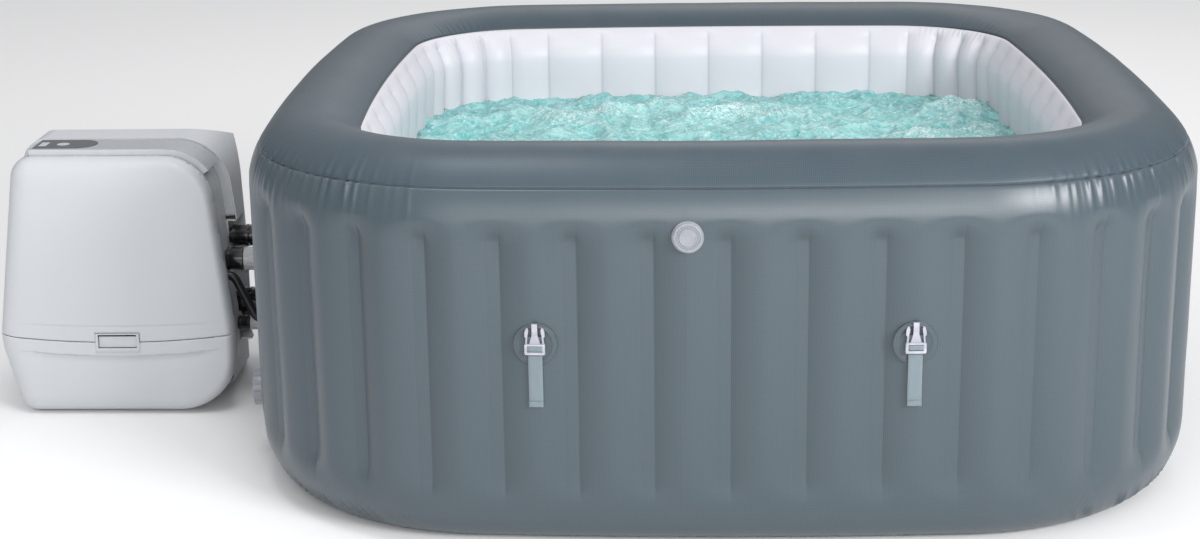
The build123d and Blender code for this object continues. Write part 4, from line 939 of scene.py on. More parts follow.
@dataclass
class Floor:
    """Base sheet, foam floor pad and the air channel round it."""

    wall: InflatedWall
    base_top: float = 0.0024
    pad_bottom: float = 0.0027
    pad_top: float = 0.0195
    quilts: int = 7
    channel_insets: tuple[float, float] = (0.252, 0.290)
    channel_height: float = 0.012
    columns: int = 192
    quilted_width: float = 1.3
    cloth_frames: int = 8
    cloth_pressure: float = 1.5
    swell_cap: float = 0.002

    def build(self) -> None:
        """Make the three pieces."""
        for piece in (self.base(), self.pad(), self.channel()):
            LOG.info("floor piece %s", piece.name)

    def disc(self, inset: float, rings: int) -> tuple[Array, Array]:
        """Concentric copies of the outline, from the edge inwards.

        Args:
            inset: how far the outermost copy lies inside the outline.
            rings: number of copies.

        Returns:
            Points, column by column, and the share of the way in of each ring.
        """
        along = np.arange(self.columns) / self.columns * 4 * OUTLINE.quarter
        point, normal = OUTLINE.at(along)
        edge = point - normal * inset
        shares = 1 - np.linspace(1, 0.012, rings)
        return edge[:, None, :] * (1 - shares)[None, :, None], shares

    def slab(self, name: str, inset: float, low: float, top: Callable[[Array, Array], Array], kit: Kit,
             node: str, rings: int) -> bpy.types.Object:
        """Closed slab of the outline's shape with its own top surface.

        Args:
            name: the piece's name.
            inset: how far its edge lies inside the outline.
            low: height of its flat underside.
            top: gives the height of the top from points and their shares of the way in.
            kit: its finish.
            node: the CAD node that it stands for.
            rings: number of rings from its edge to its middle.

        Returns:
            The closed slab.
        """
        upper, shares = self.disc(inset, rings)
        height = top(upper, shares)
        lower = np.concatenate([upper[:, ::-1, :], np.full((*upper.shape[:2], 1), low)], -1)
        upper = np.concatenate([upper, height[..., None]], -1)
        both = np.concatenate([lower, upper], 1)
        rows = both.shape[1]
        faces = grid_faces(self.columns, rows, True)
        faces.append([c * rows + rows - 1 for c in range(self.columns)])
        faces.append([c * rows for c in range(self.columns)][::-1])
        points = both.reshape(-1, 3)
        stored = {"cloth": points, "painted_crease_shade": np.zeros(len(points))}
        return make_piece(name, points, faces, kit, "pool", [node], stored)

    def base(self) -> bpy.types.Object:
        """Base sheet under the whole tub."""
        def flat(xy: Array, _: Array) -> Array:
            """The same height everywhere."""
            return np.full(xy.shape[:2], self.base_top)

        return self.slab("base_skin", self.wall.foot_inset + 0.001, 0.0, flat, Kit.BASE, "base_sheet", 8)

    def pad(self) -> bpy.types.Object:
        """Foam floor pad, quilted in squares and swollen by a cloth run."""
        def quilted(xy: Array, shares: Array) -> Array:
            """Puffed squares with a groove between them, lower at the pad's edge."""
            pitch = self.quilted_width / self.quilts
            groove = np.minimum(np.abs((xy[..., 0] / pitch + 0.5) % 1 - 0.5),
                                np.abs((xy[..., 1] / pitch + 0.5) % 1 - 0.5)) * pitch
            edge = smooth(0.0, 0.03, shares)[None, :]
            puff = 1 - 0.45 * np.exp(-groove / 0.012)
            return self.pad_bottom + (self.pad_top - self.pad_bottom - 0.003) * puff * (0.55 + 0.45 * edge)

        piece = self.slab("floor_pad_quilt", self.wall.liner_inset + 0.003, self.pad_bottom, quilted, Kit.PAD,
                          "floor_pad", 96)
        self.swell(piece)
        return piece

    def swell(self, piece: bpy.types.Object) -> None:
        """Let cloth under a little pressure round the quilting, and cap how far it moves."""
        rest = np.array([v.co for v in piece.data.vertices])
        cloth = piece.modifiers.new("cloth", "CLOTH")
        cloth.settings.use_pressure = True
        cloth.settings.uniform_pressure_force = self.cloth_pressure
        cloth.settings.quality = 3
        cloth.settings.effector_weights.gravity = 0.0
        scene = bpy.context.scene
        for number in range(1, self.cloth_frames + 1):
            scene.frame_set(number)
        held = piece.evaluated_get(bpy.context.evaluated_depsgraph_get()).to_mesh()
        moved = np.array([v.co for v in held.vertices]) - rest
        piece.modifiers.remove(cloth)
        scene.frame_set(1)
        length = np.linalg.norm(moved, axis=1, keepdims=True)
        moved *= np.minimum(1.0, self.swell_cap / np.maximum(length, 1e-9))
        final = rest + moved
        final[:, 2] = np.clip(final[:, 2], self.pad_bottom, self.pad_top)
        piece.data.vertices.foreach_set("co", final.astype(np.float32).ravel())
        piece.data.update()

    def channel(self) -> bpy.types.Object:
        """Air channel: a half-round welded tube with flat flanges and a row of swellings."""
        near, far = self.channel_insets
        turn = np.linspace(math.pi, 0, 13)
        middle, half = (near + far) / 2, (far - near) / 2 - 0.006
        arch_in, arch_z = middle + half * np.cos(turn), np.sin(turn)
        inset = np.concatenate([[near, near], arch_in, [far, far]])
        share = np.concatenate([[0.0, 0.14], 0.16 + 0.84 * arch_z, [0.14, 0.0]])
        along = np.arange(1200) / 1200 * 4 * OUTLINE.quarter
        point, normal = OUTLINE.at(along)
        scallop = 0.88 + 0.12 * np.abs(np.sin(along / 0.06 * math.pi))
        z = self.pad_top + 0.0007 + self.channel_height * share[None, :] * scallop[:, None]
        xy = point[:, None, :] - normal[:, None, :] * inset[None, :, None]
        points = as_points(xy, z)
        rows = len(inset)
        faces = grid_faces(len(along), rows, True)
        index = np.arange(len(along)) * rows
        after = np.roll(index, -1)
        faces += np.stack([index + rows - 1, after + rows - 1, after, index], -1).tolist()
        cloth = np.stack([np.repeat(along, rows), np.tile(inset, len(along)), np.zeros(len(points))], -1)
        return make_piece("air_channel_tube", points, faces, Kit.LINER, "pool", ["air_channel"],
                          {"cloth": cloth, "painted_crease_shade": np.zeros(len(points))})


@dataclass
class BeamWebs:
    """Fabric webs inside the wall that hold its two skins together."""

    depth: tuple[float, float] = (0.027, 0.226)
    span: tuple[float, float] = (0.150, 0.545)
    thickness: float = 0.0012
    rows: int = 29
    columns: int = 13
    left_gap: float = 1.5
    drain_along: float = 0.400

    def build(self) -> None:
        """Make every web in one piece, slightly rippled between its welds."""
        step, left = OUTLINE.step, 3 * OUTLINE.quarter
        stations = np.arange(4 * OUTLINE.webs_per_quarter) * step
        clear_of_couplings = np.abs(stations - left) > self.left_gap * step
        clear_of_drain = np.abs(stations - left - self.drain_along) > step / 2
        keep = clear_of_couplings & clear_of_drain
        points, faces, cloth = [], [], []
        inset = np.linspace(*self.depth, self.columns)
        height = np.linspace(*self.span, self.rows)
        for number, along in enumerate(stations[keep]):
            point, normal = OUTLINE.at(np.array([along]))
            tangent = np.array([-normal[0, 1], normal[0, 0]])
            across, up = np.meshgrid(inset, height, indexing="ij")
            free = np.sin(np.pi * (across - inset[0]) / (inset[-1] - inset[0]))
            ripple = 0.004 * free * np.sin(up * 34 + number * 1.7)
            xy = point[0] - normal[0] * across[..., None] + tangent * ripple[..., None]
            start = sum(len(p) for p in points)
            points.append(as_points(xy, up))
            faces += (np.array(grid_faces(self.columns, self.rows, False)) + start).tolist()
            cloth.append(np.stack([across.ravel(), up.ravel(), np.zeros(across.size)], -1))
        piece = make_piece("beam_webs", np.concatenate(points), faces, Kit.WEB, "pool", ["i_beam_webs"],
                           {"cloth": np.concatenate(cloth)})
        thicken(piece, self.thickness)
        LOG.info("beam webs: %d", int(keep.sum()))


# ------------------------------------------------------------------ water

@dataclass
class Water:
    """The water in the basin, stirred up by air."""

    level: float = 0.508
    floor: float = 0.034
    inset: float = 0.240
    cells: int = 230
    waves: tuple = ((7, 0.020, 33), (15, 0.013, 34), (32, 0.008, 35), (64, 0.004, 36))
    domes: int = 26

    def build(self) -> None:
        """Make the closed body of water."""
        side = np.linspace(-1, 1, self.cells)
        a, b = np.meshgrid(side, side, indexing="ij")
        spread = np.maximum(np.abs(a), np.abs(b))
        turn = np.arctan2(b, a)
        reach = self.reach(turn)
        norm = np.where(spread > 0, spread, 1)
        x = reach * np.cos(turn) * norm * (spread > 0)
        y = reach * np.sin(turn) * norm * (spread > 0)
        height, foam = self.surface(x, y)
        points = np.stack([x, y, height], -1).reshape(-1, 3)
        faces = grid_faces(self.cells, self.cells, False)
        rim = self.rim_loop()
        count = len(points)
        low = points[rim].copy()
        low[:, 2] = self.floor
        points = np.concatenate([points, low])
        for k, top in enumerate(rim):
            after = (k + 1) % len(rim)
            faces.append([rim[after], top, count + k, count + after])
        faces.append([count + k for k in range(len(rim))][::-1])
        mask = np.concatenate([foam.ravel(), np.zeros(len(rim))])
        make_piece("water", points, faces, Kit.WATER, "pool", (), {"foam": mask})
        LOG.info("water: %d vertices", len(points))

    def reach(self, turn: Array) -> Array:
        """Distance from the centre to the water's edge in each direction."""
        along = np.linspace(0, 4 * OUTLINE.quarter, 2400, endpoint=False)
        point, normal = OUTLINE.at(along)
        edge = point - normal * self.inset
        angle = np.arctan2(edge[:, 1], edge[:, 0])
        order = np.argsort(angle)
        return np.interp(turn, angle[order], np.hypot(edge[:, 0], edge[:, 1])[order], period=2 * math.pi)

    def rim_loop(self) -> list[int]:
        """Vertex numbers round the edge of the surface grid, anticlockwise."""
        n = self.cells
        return ([i * n for i in range(n)] + [(n - 1) * n + j for j in range(1, n)]
                + [i * n + n - 1 for i in range(n - 2, -1, -1)] + list(range(n - 2, 0, -1)))

    def surface(self, x: Array, y: Array) -> tuple[Array, Array]:
        """Height of the surface, and how foamy it is."""
        bend_x = x + 0.05 * (lattice_noise(x, y, 6, 31) - 0.5)
        bend_y = y + 0.05 * (lattice_noise(x, y, 6, 32) - 0.5)
        total, foam = np.zeros_like(x), np.zeros_like(x)
        for scale, tall, seed in self.waves:
            crest = 1 - np.abs(2 * lattice_noise(bend_x, bend_y, scale, seed) - 1)
            total += tall * (crest**1.5 - 0.5)
            foam += crest**5 * 0.3
        random = np.random.default_rng(37)
        for _ in range(self.domes):
            turn, share = random.uniform(0, 2 * math.pi), random.uniform(0.55, 0.9)
            reach = float(self.reach(np.array([turn]))[0]) * share
            near = np.hypot(x - reach * math.cos(turn), y - reach * math.sin(turn))
            dome = np.exp(-((near / random.uniform(0.04, 0.085)) ** 2))
            total += random.uniform(0.008, 0.026) * dome
            foam += 0.5 * dome
        return self.level + total, np.clip(foam - 0.35, 0, 1)


# ------------------------------------------------------------------ straps

@dataclass
class Straps:
    """Webbing, patches and stitching of the eight buckled straps."""

    offset: float = 0.322
    height: float = 0.383
    patch_radius: float = 0.038
    width: float = 0.0245
    thickness: float = 0.0013
    tail_bottom: float = 0.273
    buckle_bottom: float = 0.368
    stitches_in_row: int = 9
    stitch_pitch: float = 0.0026
    stitch_half: float = 0.0010
    thread_radius: float = 0.0003

    def build(self) -> None:
        """Make the straps of all four sides."""
        along = OUTLINE.bow_radius * math.asin(self.offset / OUTLINE.bow_radius)
        places = [OUTLINE.place(side * OUTLINE.quarter + sign * along)
                  for side in range(4) for sign in (1, -1)]
        for number, place in enumerate(places, start=1):
            self.patch(number, place)
            self.webbing(number, place)
            self.loop(number, place)
            self.stitches(number, place)
        LOG.info("straps: %d", len(places))

    def patch(self, number: int, place: Matrix) -> None:
        """Welded round patch with an embossed ring, worked into the wall's face, with painted shade in the
        ring and round its edge.
        """
        radius = self.patch_radius
        rings = np.array([0.0, 0.3, 0.55, 0.7, 0.76, 0.80, 0.84, 0.88, 0.93, 0.965, 0.985, 1.0, 1.0]) * radius
        lift = np.array([0.9, 0.9, 0.9, 0.9, 1.1, 1.9, 1.9, 1.1, 0.85, 0.8, 0.6, 0.2, -1.5]) * 0.001
        rings[0] = 0.0005
        count = 72
        turn = np.arange(count) / count * 2 * math.pi
        x = rings[None, :] * np.cos(turn)[:, None]
        z = self.height + rings[None, :] * np.sin(turn)[:, None]
        y = np.broadcast_to(-0.0006 - lift[None, :], x.shape)
        points = self.to_frame(place, np.stack([x, y, z], -1).reshape(-1, 3))
        rows = len(rings)
        faces = [face[::-1] for face in grid_faces(count, rows, True)]
        faces.append([c * rows for c in range(count)])
        faces.append([c * rows + rows - 1 for c in range(count)][::-1])
        # Painted shade in the embossed ring and round the patch's edge.
        painted_crease_shade = np.tile(bell(rings, 0.72 * radius, 0.0016) * 0.5 + bell(rings, radius, 0.0008), count)
        cloth = np.stack([x.ravel(), z.ravel(), np.zeros(x.size)], -1)
        make_piece(f"strap_patch_{number}", points, faces, Kit.WALL, "pool", ["strap_patches"],
                   {"painted_crease_shade": painted_crease_shade, "cloth": cloth})

    @staticmethod
    def to_frame(place: Matrix, points: Array) -> Array:
        """Points of a strap's own space, put in the row frame."""
        turned = np.array(place)
        return points @ turned[:3, :3].T + turned[:3, 3]

    def ribbon(self, name: str, place: Matrix, path: Sequence[Point], body: str,
               replaced: Iterable[str]) -> tuple[bpy.types.Object, float]:
        """Closed flat ribbon along a path in a strap's own (y, z) plane.

        Args:
            name: the piece's name.
            place: the strap's matrix.
            path: its centreline.
            body: the body that it rides on.
            replaced: CAD nodes that it stands for.

        Returns:
            The ribbon and its length.
        """
        line = np.array(path)
        for _ in range(3):
            cut = [line[:1]] + [np.stack([0.75 * p + 0.25 * q, 0.25 * p + 0.75 * q])
                                for p, q in zip(line[:-1], line[1:])] + [line[-1:]]
            line = np.concatenate(cut)
        tangent = np.gradient(line, axis=0)
        tangent /= np.linalg.norm(tangent, axis=1, keepdims=True) + 1e-12
        side = np.stack([-tangent[:, 1], tangent[:, 0]], -1) * self.thickness / 2
        half = self.width / 2
        across = np.array([-1.0, -0.97, -0.5, 0.0, 0.5, 0.97, 1.0]) * half
        thin = np.array([0.45, 1.0, 1.0, 1.0, 1.0, 1.0, 0.45])
        ring_x = np.concatenate([across, across[::-1]])
        ring_side = np.concatenate([thin, -thin[::-1]])
        count = len(ring_x)
        yz = line[:, None, :] + side[:, None, :] * ring_side[None, :, None]
        x = np.broadcast_to(ring_x[None, :, None], (*yz.shape[:2], 1))
        local = np.concatenate([x, yz], -1).reshape(-1, 3)
        faces = []
        for i in range(len(line) - 1):
            for j in range(count):
                k = (j + 1) % count
                faces.append([i * count + j, i * count + k, (i + 1) * count + k, (i + 1) * count + j])
        faces.append(list(range(count))[::-1])
        faces.append([(len(line) - 1) * count + j for j in range(count)])
        run = np.concatenate([[0.0], np.cumsum(np.linalg.norm(np.diff(line, axis=0), axis=1))])
        cloth = np.stack([local[:, 0], np.repeat(run, count), np.zeros(len(local))], -1)
        points = self.to_frame(place, local)
        piece = make_piece(name, points, faces, Kit.STRAP, body, replaced, {"cloth": cloth})
        return piece, float(run[-1])

    def webbing(self, number: int, place: Matrix) -> None:
        """Strap from its stitching behind the buckle, down to the hemmed tail."""
        out, low = -0.0062, self.tail_bottom
        path = [(-0.0035, 0.398), (-0.0036, 0.385), (-0.0034, 0.371), (-0.0040, 0.3655), (out, 0.362),
                (out - 0.0012, 0.350), (out - 0.0002, 0.325), (out + 0.0006, 0.300), (out, low + 0.012),
                (out - 0.0002, low + 0.0012), (out - 0.0010, low), (out - 0.0022, low + 0.0012),
                (out - 0.0020, low + 0.010)]
        piece, length = self.ribbon(f"webbing_{number}", place, path, "pool", ["webbing_straps"])

    def loop(self, number: int, place: Matrix) -> None:
        """Short turn of webbing round the buckle's bar, which goes with the buckle."""
        low = self.buckle_bottom
        path = [(-0.0043, low + 0.0015), (-0.0043, low + 0.008), (-0.0044, low + 0.0138),
                (-0.0062, low + 0.0142), (-0.0110, low + 0.0142), (-0.0129, low + 0.0138),
                (-0.0129, low + 0.0068), (-0.0110, low + 0.0064), (-0.0078, low + 0.0062)]
        self.ribbon(f"webbing_loop_{number}", place, path, f"buckle_{number}", ["webbing_straps"])

    def stitches(self, number: int, place: Matrix) -> None:
        """Rows of stitches across the hem and the sewn top."""
        points, faces = [], []
        long, thin = self.stitch_half, self.thread_radius
        tips = ((-long, 0, 0), (long, 0, 0), (0, -thin, 0), (0, thin, 0), (0, 0, -thin), (0, 0, thin))
        sides = ((0, 4, 2), (0, 2, 5), (0, 5, 3), (0, 3, 4), (1, 2, 4), (1, 5, 2), (1, 3, 5), (1, 4, 3))
        for z, y in ((self.tail_bottom + 0.0085, -0.0090), (self.tail_bottom + 0.0055, -0.0091),
                     (0.3945, -0.0043), (0.3905, -0.0043)):
            for step in range(self.stitches_in_row):
                x = (step - self.stitches_in_row // 2) * self.stitch_pitch
                start = len(points)
                points += [(x + dx, y + dy, z + dz) for dx, dy, dz in tips]
                faces += [[start + a, start + b, start + c] for a, b, c in sides]
        make_piece(f"stitching_{number}", self.to_frame(place, np.array(points)), faces, Kit.THREAD, "pool")


# ------------------------------------------------------------------ pump unit

def outward_normals(loop: Array) -> Array:
    """Outward unit normals at the points of a closed plane loop."""
    tangent = np.roll(loop, -1, axis=0) - np.roll(loop, 1, axis=0)
    tangent /= np.linalg.norm(tangent, axis=1, keepdims=True)
    outward = np.stack([tangent[:, 1], -tangent[:, 0]], -1)
    return outward if np.sum(outward * (loop - loop.mean(0))) > 0 else -outward


@dataclass
class PumpFront:
    """The two moulded front covers of the pump unit, upper and lower."""

    corners: tuple[tuple[float, float, float], ...] = (
        (-1.437, 0.549, 0.045), (-1.494, 0.160, 0.150), (-1.455, 0.003, 0.042),
        (-1.003, 0.003, 0.125), (-0.998, 0.185, 0.300), (-1.036, 0.548, 0.100))
    face_y: float = -0.172
    rim_y: float = -0.135
    wall: float = 0.003
    crown: float = 0.005
    latch_x: float = -1.240
    seam_z: float = 0.161
    seam_radius: float = 2.050
    gap: float = 0.0012
    frame_half: float = 0.046
    frame_z: tuple[float, float] = (0.140, 0.180)
    window_half: float = 0.0401
    window_z: tuple[float, float] = (0.1484, 0.1772)
    groove_z: float = 0.131
    groove_radius: float = 1.690
    groove_depth: float = 0.0090
    groove_run: float = 0.016
    crease_z: float = 0.196
    crease_radius: float = 3.200
    crease_depth: float = 0.0016
    crease_run: float = 0.02
    fade_span: tuple[float, float] = (0.150, 0.215)
    edge_power: float = 2.4
    seam_roll: float = 0.0012
    frame_lift: float = 0.0018
    frame_slit: float = 0.0008
    x_span: tuple[float, float] = (-1.50, -0.98)
    line_pitch: float = 0.004
    edge_depths: tuple[float, ...] = (0.0003, 0.001, 0.002, 0.0034, 0.0052, 0.0075, 0.0105, 0.0145, 0.019,
                                      0.024, 0.030, 0.037)

    def build(self) -> None:
        """Make both covers."""
        outline = self.outline()
        points, triangles = self.triangles(outline)
        middle = points[triangles].mean(1)
        seam = self.seam_distance(middle)
        framed = self.in_box(middle, self.frame_half, *self.frame_z, 0.0)
        around = self.in_box(middle, self.frame_half, *self.frame_z, self.frame_slit)
        open_window = self.in_box(middle, self.window_half, *self.window_z, 0.0)
        upper = (seam < 0) & ~around
        lower = ((seam > self.gap) | framed) & ~open_window
        self.cover("upper_front_shell", points, triangles[upper], outline, "pump_unit", "front_cover")
        self.cover("lower_front_shell", points, triangles[lower], outline, "lower_cover", "lower_cover")

    def outline(self) -> Array:
        """Outline with its rounded corners, in (x, z)."""
        made = []
        count = len(self.corners)
        for i, (x, z, radius) in enumerate(self.corners):
            here = np.array([x, z])
            before = np.array(self.corners[i - 1][:2]) - here
            after = np.array(self.corners[(i + 1) % count][:2]) - here
            u, v = before / np.linalg.norm(before), after / np.linalg.norm(after)
            half = math.acos(float(np.clip(u @ v, -1, 1))) / 2
            centre = here + (u + v) / np.linalg.norm(u + v) * radius / math.sin(half)
            first, last = here + u * radius / math.tan(half), here + v * radius / math.tan(half)
            start = math.atan2(*(first - centre)[::-1])
            turn = (math.atan2(*(last - centre)[::-1]) - start + math.pi) % (2 * math.pi) - math.pi
            steps = max(6, int(abs(turn) * radius / 0.006))
            for share in np.linspace(0, 1, steps + 1):
                angle = start + turn * share
                made.append(centre + radius * np.array([math.cos(angle), math.sin(angle)]))
        return self.evenly(np.array(made), 0.006)

    @staticmethod
    def evenly(loop: Array, pitch: float) -> Array:
        """A closed loop resampled at an even pitch."""
        closed = np.concatenate([loop, loop[:1]])
        run = np.concatenate([[0.0], np.cumsum(np.linalg.norm(np.diff(closed, axis=0), axis=1))])
        places = np.linspace(0, run[-1], int(run[-1] / pitch), endpoint=False)
        return np.stack([np.interp(places, run, closed[:, k]) for k in (0, 1)], -1)

    @staticmethod
    def edge_distance(points: Array, loop: Array) -> Array:
        """Distance from each point to the loop."""
        a, b = loop, np.roll(loop, -1, axis=0)
        best = np.full(len(points), 9.0)
        for p, q in zip(a, b):
            d = q - p
            t = np.clip(((points - p) @ d) / (d @ d), 0, 1)
            best = np.minimum(best, np.hypot(*(points - p - t[:, None] * d).T))
        return best

    def seam_distance(self, points: Array) -> Array:
        """How far below the bowed seam a point is; negative above it."""
        centre = self.seam_z + self.seam_radius
        return np.hypot(points[:, 0] - self.latch_x, points[:, 1] - centre) - self.seam_radius

    def in_box(self, points: Array, half: float, low: float, high: float, growth: float) -> Array:
        """Which points lie in the latch's box."""
        side = np.abs(points[:, 0] - self.latch_x) < half + growth
        return side & (points[:, 1] > low - growth) & (points[:, 1] < high + growth)

    def triangles(self, outline: Array) -> tuple[Array, Array]:
        """Fine triangles over the whole front, kept to the outline, the seam and the latch's boxes."""
        fixed, edges = [], []

        def line(items: Array, closed: bool) -> None:
            """Fix a row of points and the edges between them."""
            start = len(fixed)
            fixed.extend(map(tuple, items))
            last = len(items) if closed else len(items) - 1
            edges.extend((start + i, start + (i + 1) % len(items)) for i in range(last))

        line(outline, True)
        centre = self.seam_z + self.seam_radius
        for extra in (0.0, self.gap):
            radius = self.seam_radius + extra
            x = np.arange(*self.x_span, self.line_pitch)
            line(np.stack([x, centre - np.sqrt(radius**2 - (x - self.latch_x) ** 2)], -1), False)
        for half, (low, high), growth in ((self.frame_half, self.frame_z, 0.0),
                                          (self.frame_half, self.frame_z, self.frame_slit),
                                          (self.window_half, self.window_z, 0.0)):
            x0, x1 = self.latch_x - half - growth, self.latch_x + half + growth
            z0, z1 = low - growth, high + growth
            step = self.line_pitch
            box = [(x, z0) for x in np.arange(x0, x1, step)] + [(x1, z) for z in np.arange(z0, z1, step)]
            box += [(x, z1) for x in np.arange(x1, x0, -step)] + [(x0, z) for z in np.arange(z1, z0, -step)]
            line(np.array(box), True)
        loose = [tuple(p) for p in self.loose_points(outline)]
        found = delaunay_2d_cdt([Vector(p) for p in fixed + loose], edges, [], 0, 1e-6)
        points = np.array([tuple(v) for v in found[0]])
        triangles = np.array([f for f in found[2] if len(f) == 3])
        middle = points[triangles].mean(1)
        return points, triangles[self.inside(middle, outline)]

    @staticmethod
    def inside(points: Array, loop: Array) -> Array:
        """Which points lie inside the loop."""
        a, b = loop, np.roll(loop, -1, axis=0)
        odd = np.zeros(len(points), bool)
        for (x0, z0), (x1, z1) in zip(a, b):
            if z0 != z1:
                cross = (points[:, 1] > z0) != (points[:, 1] > z1)
                odd ^= cross & (points[:, 0] < (x1 - x0) * (points[:, 1] - z0) / (z1 - z0) + x0)
        return odd

    def loose_points(self, outline: Array) -> Array:
        """Points between the fixed lines: rings near the edge, rows at the lines, a grid inside."""
        outward = outward_normals(outline)
        made = []
        for depth in self.edge_depths:
            ring = outline - outward * depth
            made.append(ring[self.edge_distance(ring, outline) > depth * 0.93])
        x = np.arange(*self.x_span, 0.005)
        lines = ((self.seam_z, self.seam_radius, (-0.0045, -0.002, -0.0007, 0.0019, 0.0032, 0.0057)),
                 (self.groove_z, self.groove_radius,
                  (-0.004, -0.0012, -0.0004, 0.0004, 0.0012, 0.003, 0.006)),
                 (self.crease_z, self.crease_radius, (-0.003, -0.0012, 0.0, 0.0012, 0.003)))
        for level, radius, shifts in lines:
            made += [np.stack([x, self.bowed(level, radius, x) - shift], -1) for shift in shifts]
        step = 0.0065
        gx, gz = np.meshgrid(np.arange(-1.49, -0.99, step), np.arange(0.01, 0.56, step))
        made.append(np.stack([gx.ravel(), gz.ravel()], -1))
        points = np.concatenate(made)
        return points[self.inside(points, outline)]

    def bowed(self, level: float, radius: float, x: Array) -> Array:
        """Height of a line across the front that bows down to level at the latch."""
        return level + radius - np.sqrt(radius**2 - (x - self.latch_x) ** 2)

    def height(self, points: Array, distance: Array) -> Array:
        """Y of the outer face at each point.

        Args:
            points: places in (x, z).
            distance: distance of each from the outline.

        Returns:
            One Y a point.
        """
        x, z = points[:, 0], points[:, 1]
        across = (x - self.latch_x) / 0.23
        soft = 0.5 + 0.5 * np.tanh(-(across - 0.15) * 2.2 - (z - 0.33) * 3.0)
        width = 0.016 + 0.030 * np.clip(soft, 0, 1)
        rise = (1 - np.clip(1 - distance / width, 0, 1) ** self.edge_power) ** (1 / self.edge_power)
        y = self.rim_y + (self.face_y - self.rim_y) * rise
        y -= self.crown * (1 - across**2 * 0.5 - ((z - 0.29) / 0.27) ** 2 * 0.5) * smooth(0.0, 0.06, distance)
        fade = 1 - smooth(*self.fade_span, np.abs(x - self.latch_x))
        below = self.bowed(self.groove_z, self.groove_radius, x) - z
        y += (self.groove_depth * fade * smooth(-0.0003, 0.0006, below)
              * np.exp(-np.clip(below, 0, 1) / self.groove_run))
        below = self.bowed(self.crease_z, self.crease_radius, x) - z
        y += (self.crease_depth * fade * smooth(-0.0012, 0.0012, below)
              * np.exp(-np.clip(below, 0, 1) / self.crease_run))
        seam = self.seam_distance(points)
        to_seam = np.minimum(np.abs(seam), np.abs(seam - self.gap))
        framed = self.in_box(points, self.frame_half, *self.frame_z, 1e-5)
        rolled = self.seam_roll * np.exp(-to_seam / self.seam_roll) * smooth(0, 0.01, distance)
        return y + np.where(framed, -self.frame_lift, rolled)

    def cover(self, name: str, points: Array, triangles: Array, outline: Array, body: str,
              node: str) -> None:
        """Make one cover from its share of the triangles.

        Args:
            name: the piece's name.
            points: places in (x, z) of the whole front.
            triangles: its share of the triangles.
            outline: outline of the whole front.
            body: the body that it rides on.
            node: the CAD node that it stands for.
        """
        used, index = np.unique(triangles, return_inverse=True)
        triangles = index.reshape(-1, 3)
        flat = points[used]
        y = self.height(flat, self.edge_distance(flat, outline))
        solid = np.stack([flat[:, 0], y, flat[:, 1]], -1)
        a, b, c = (solid[triangles[:, k]] for k in range(3))
        facing = np.cross(b - a, c - a)[:, 1].sum()
        faces = triangles if facing < 0 else triangles[:, ::-1]
        piece = make_piece(name, solid, faces.tolist(), Kit.CASE, body, [node])
        thicken(piece, self.wall)
        LOG.info("%s: %d triangles", name, len(triangles))


@dataclass
class RearLip:
    """Front return of the rear cover, which meets the back edge of the channel."""

    front: PumpFront
    outer_growth: float = 0.0085
    inner_growth: float = -0.0155
    y: float = -0.0176
    lowest_z: float = 0.386
    thickness: float = 0.0010

    def build(self) -> None:
        """Make the lip over the top and down the right shoulder."""
        loop = self.front.outline()
        growths = np.linspace(self.inner_growth, self.outer_growth, 5)
        xz = loop[:, None, :] + outward_normals(loop)[:, None, :] * growths[None, :, None]
        points = np.insert(xz.reshape(-1, 2), 1, self.y, axis=1)
        faces = np.array(grid_faces(len(loop), len(growths), True))
        faces = faces[points[faces][:, :, 2].min(1) > self.lowest_z]
        a, b, c = (points[faces[0, k]] for k in range(3))
        if np.cross(b - a, c - a)[1] > 0:
            faces = faces[:, ::-1]
        used, index = np.unique(faces, return_inverse=True)
        faces = index.reshape(-1, 4).tolist()
        piece = make_piece("rear_cover_lip", points[used], faces, Kit.CASE, "pump_unit")
        thicken(piece, self.thickness)


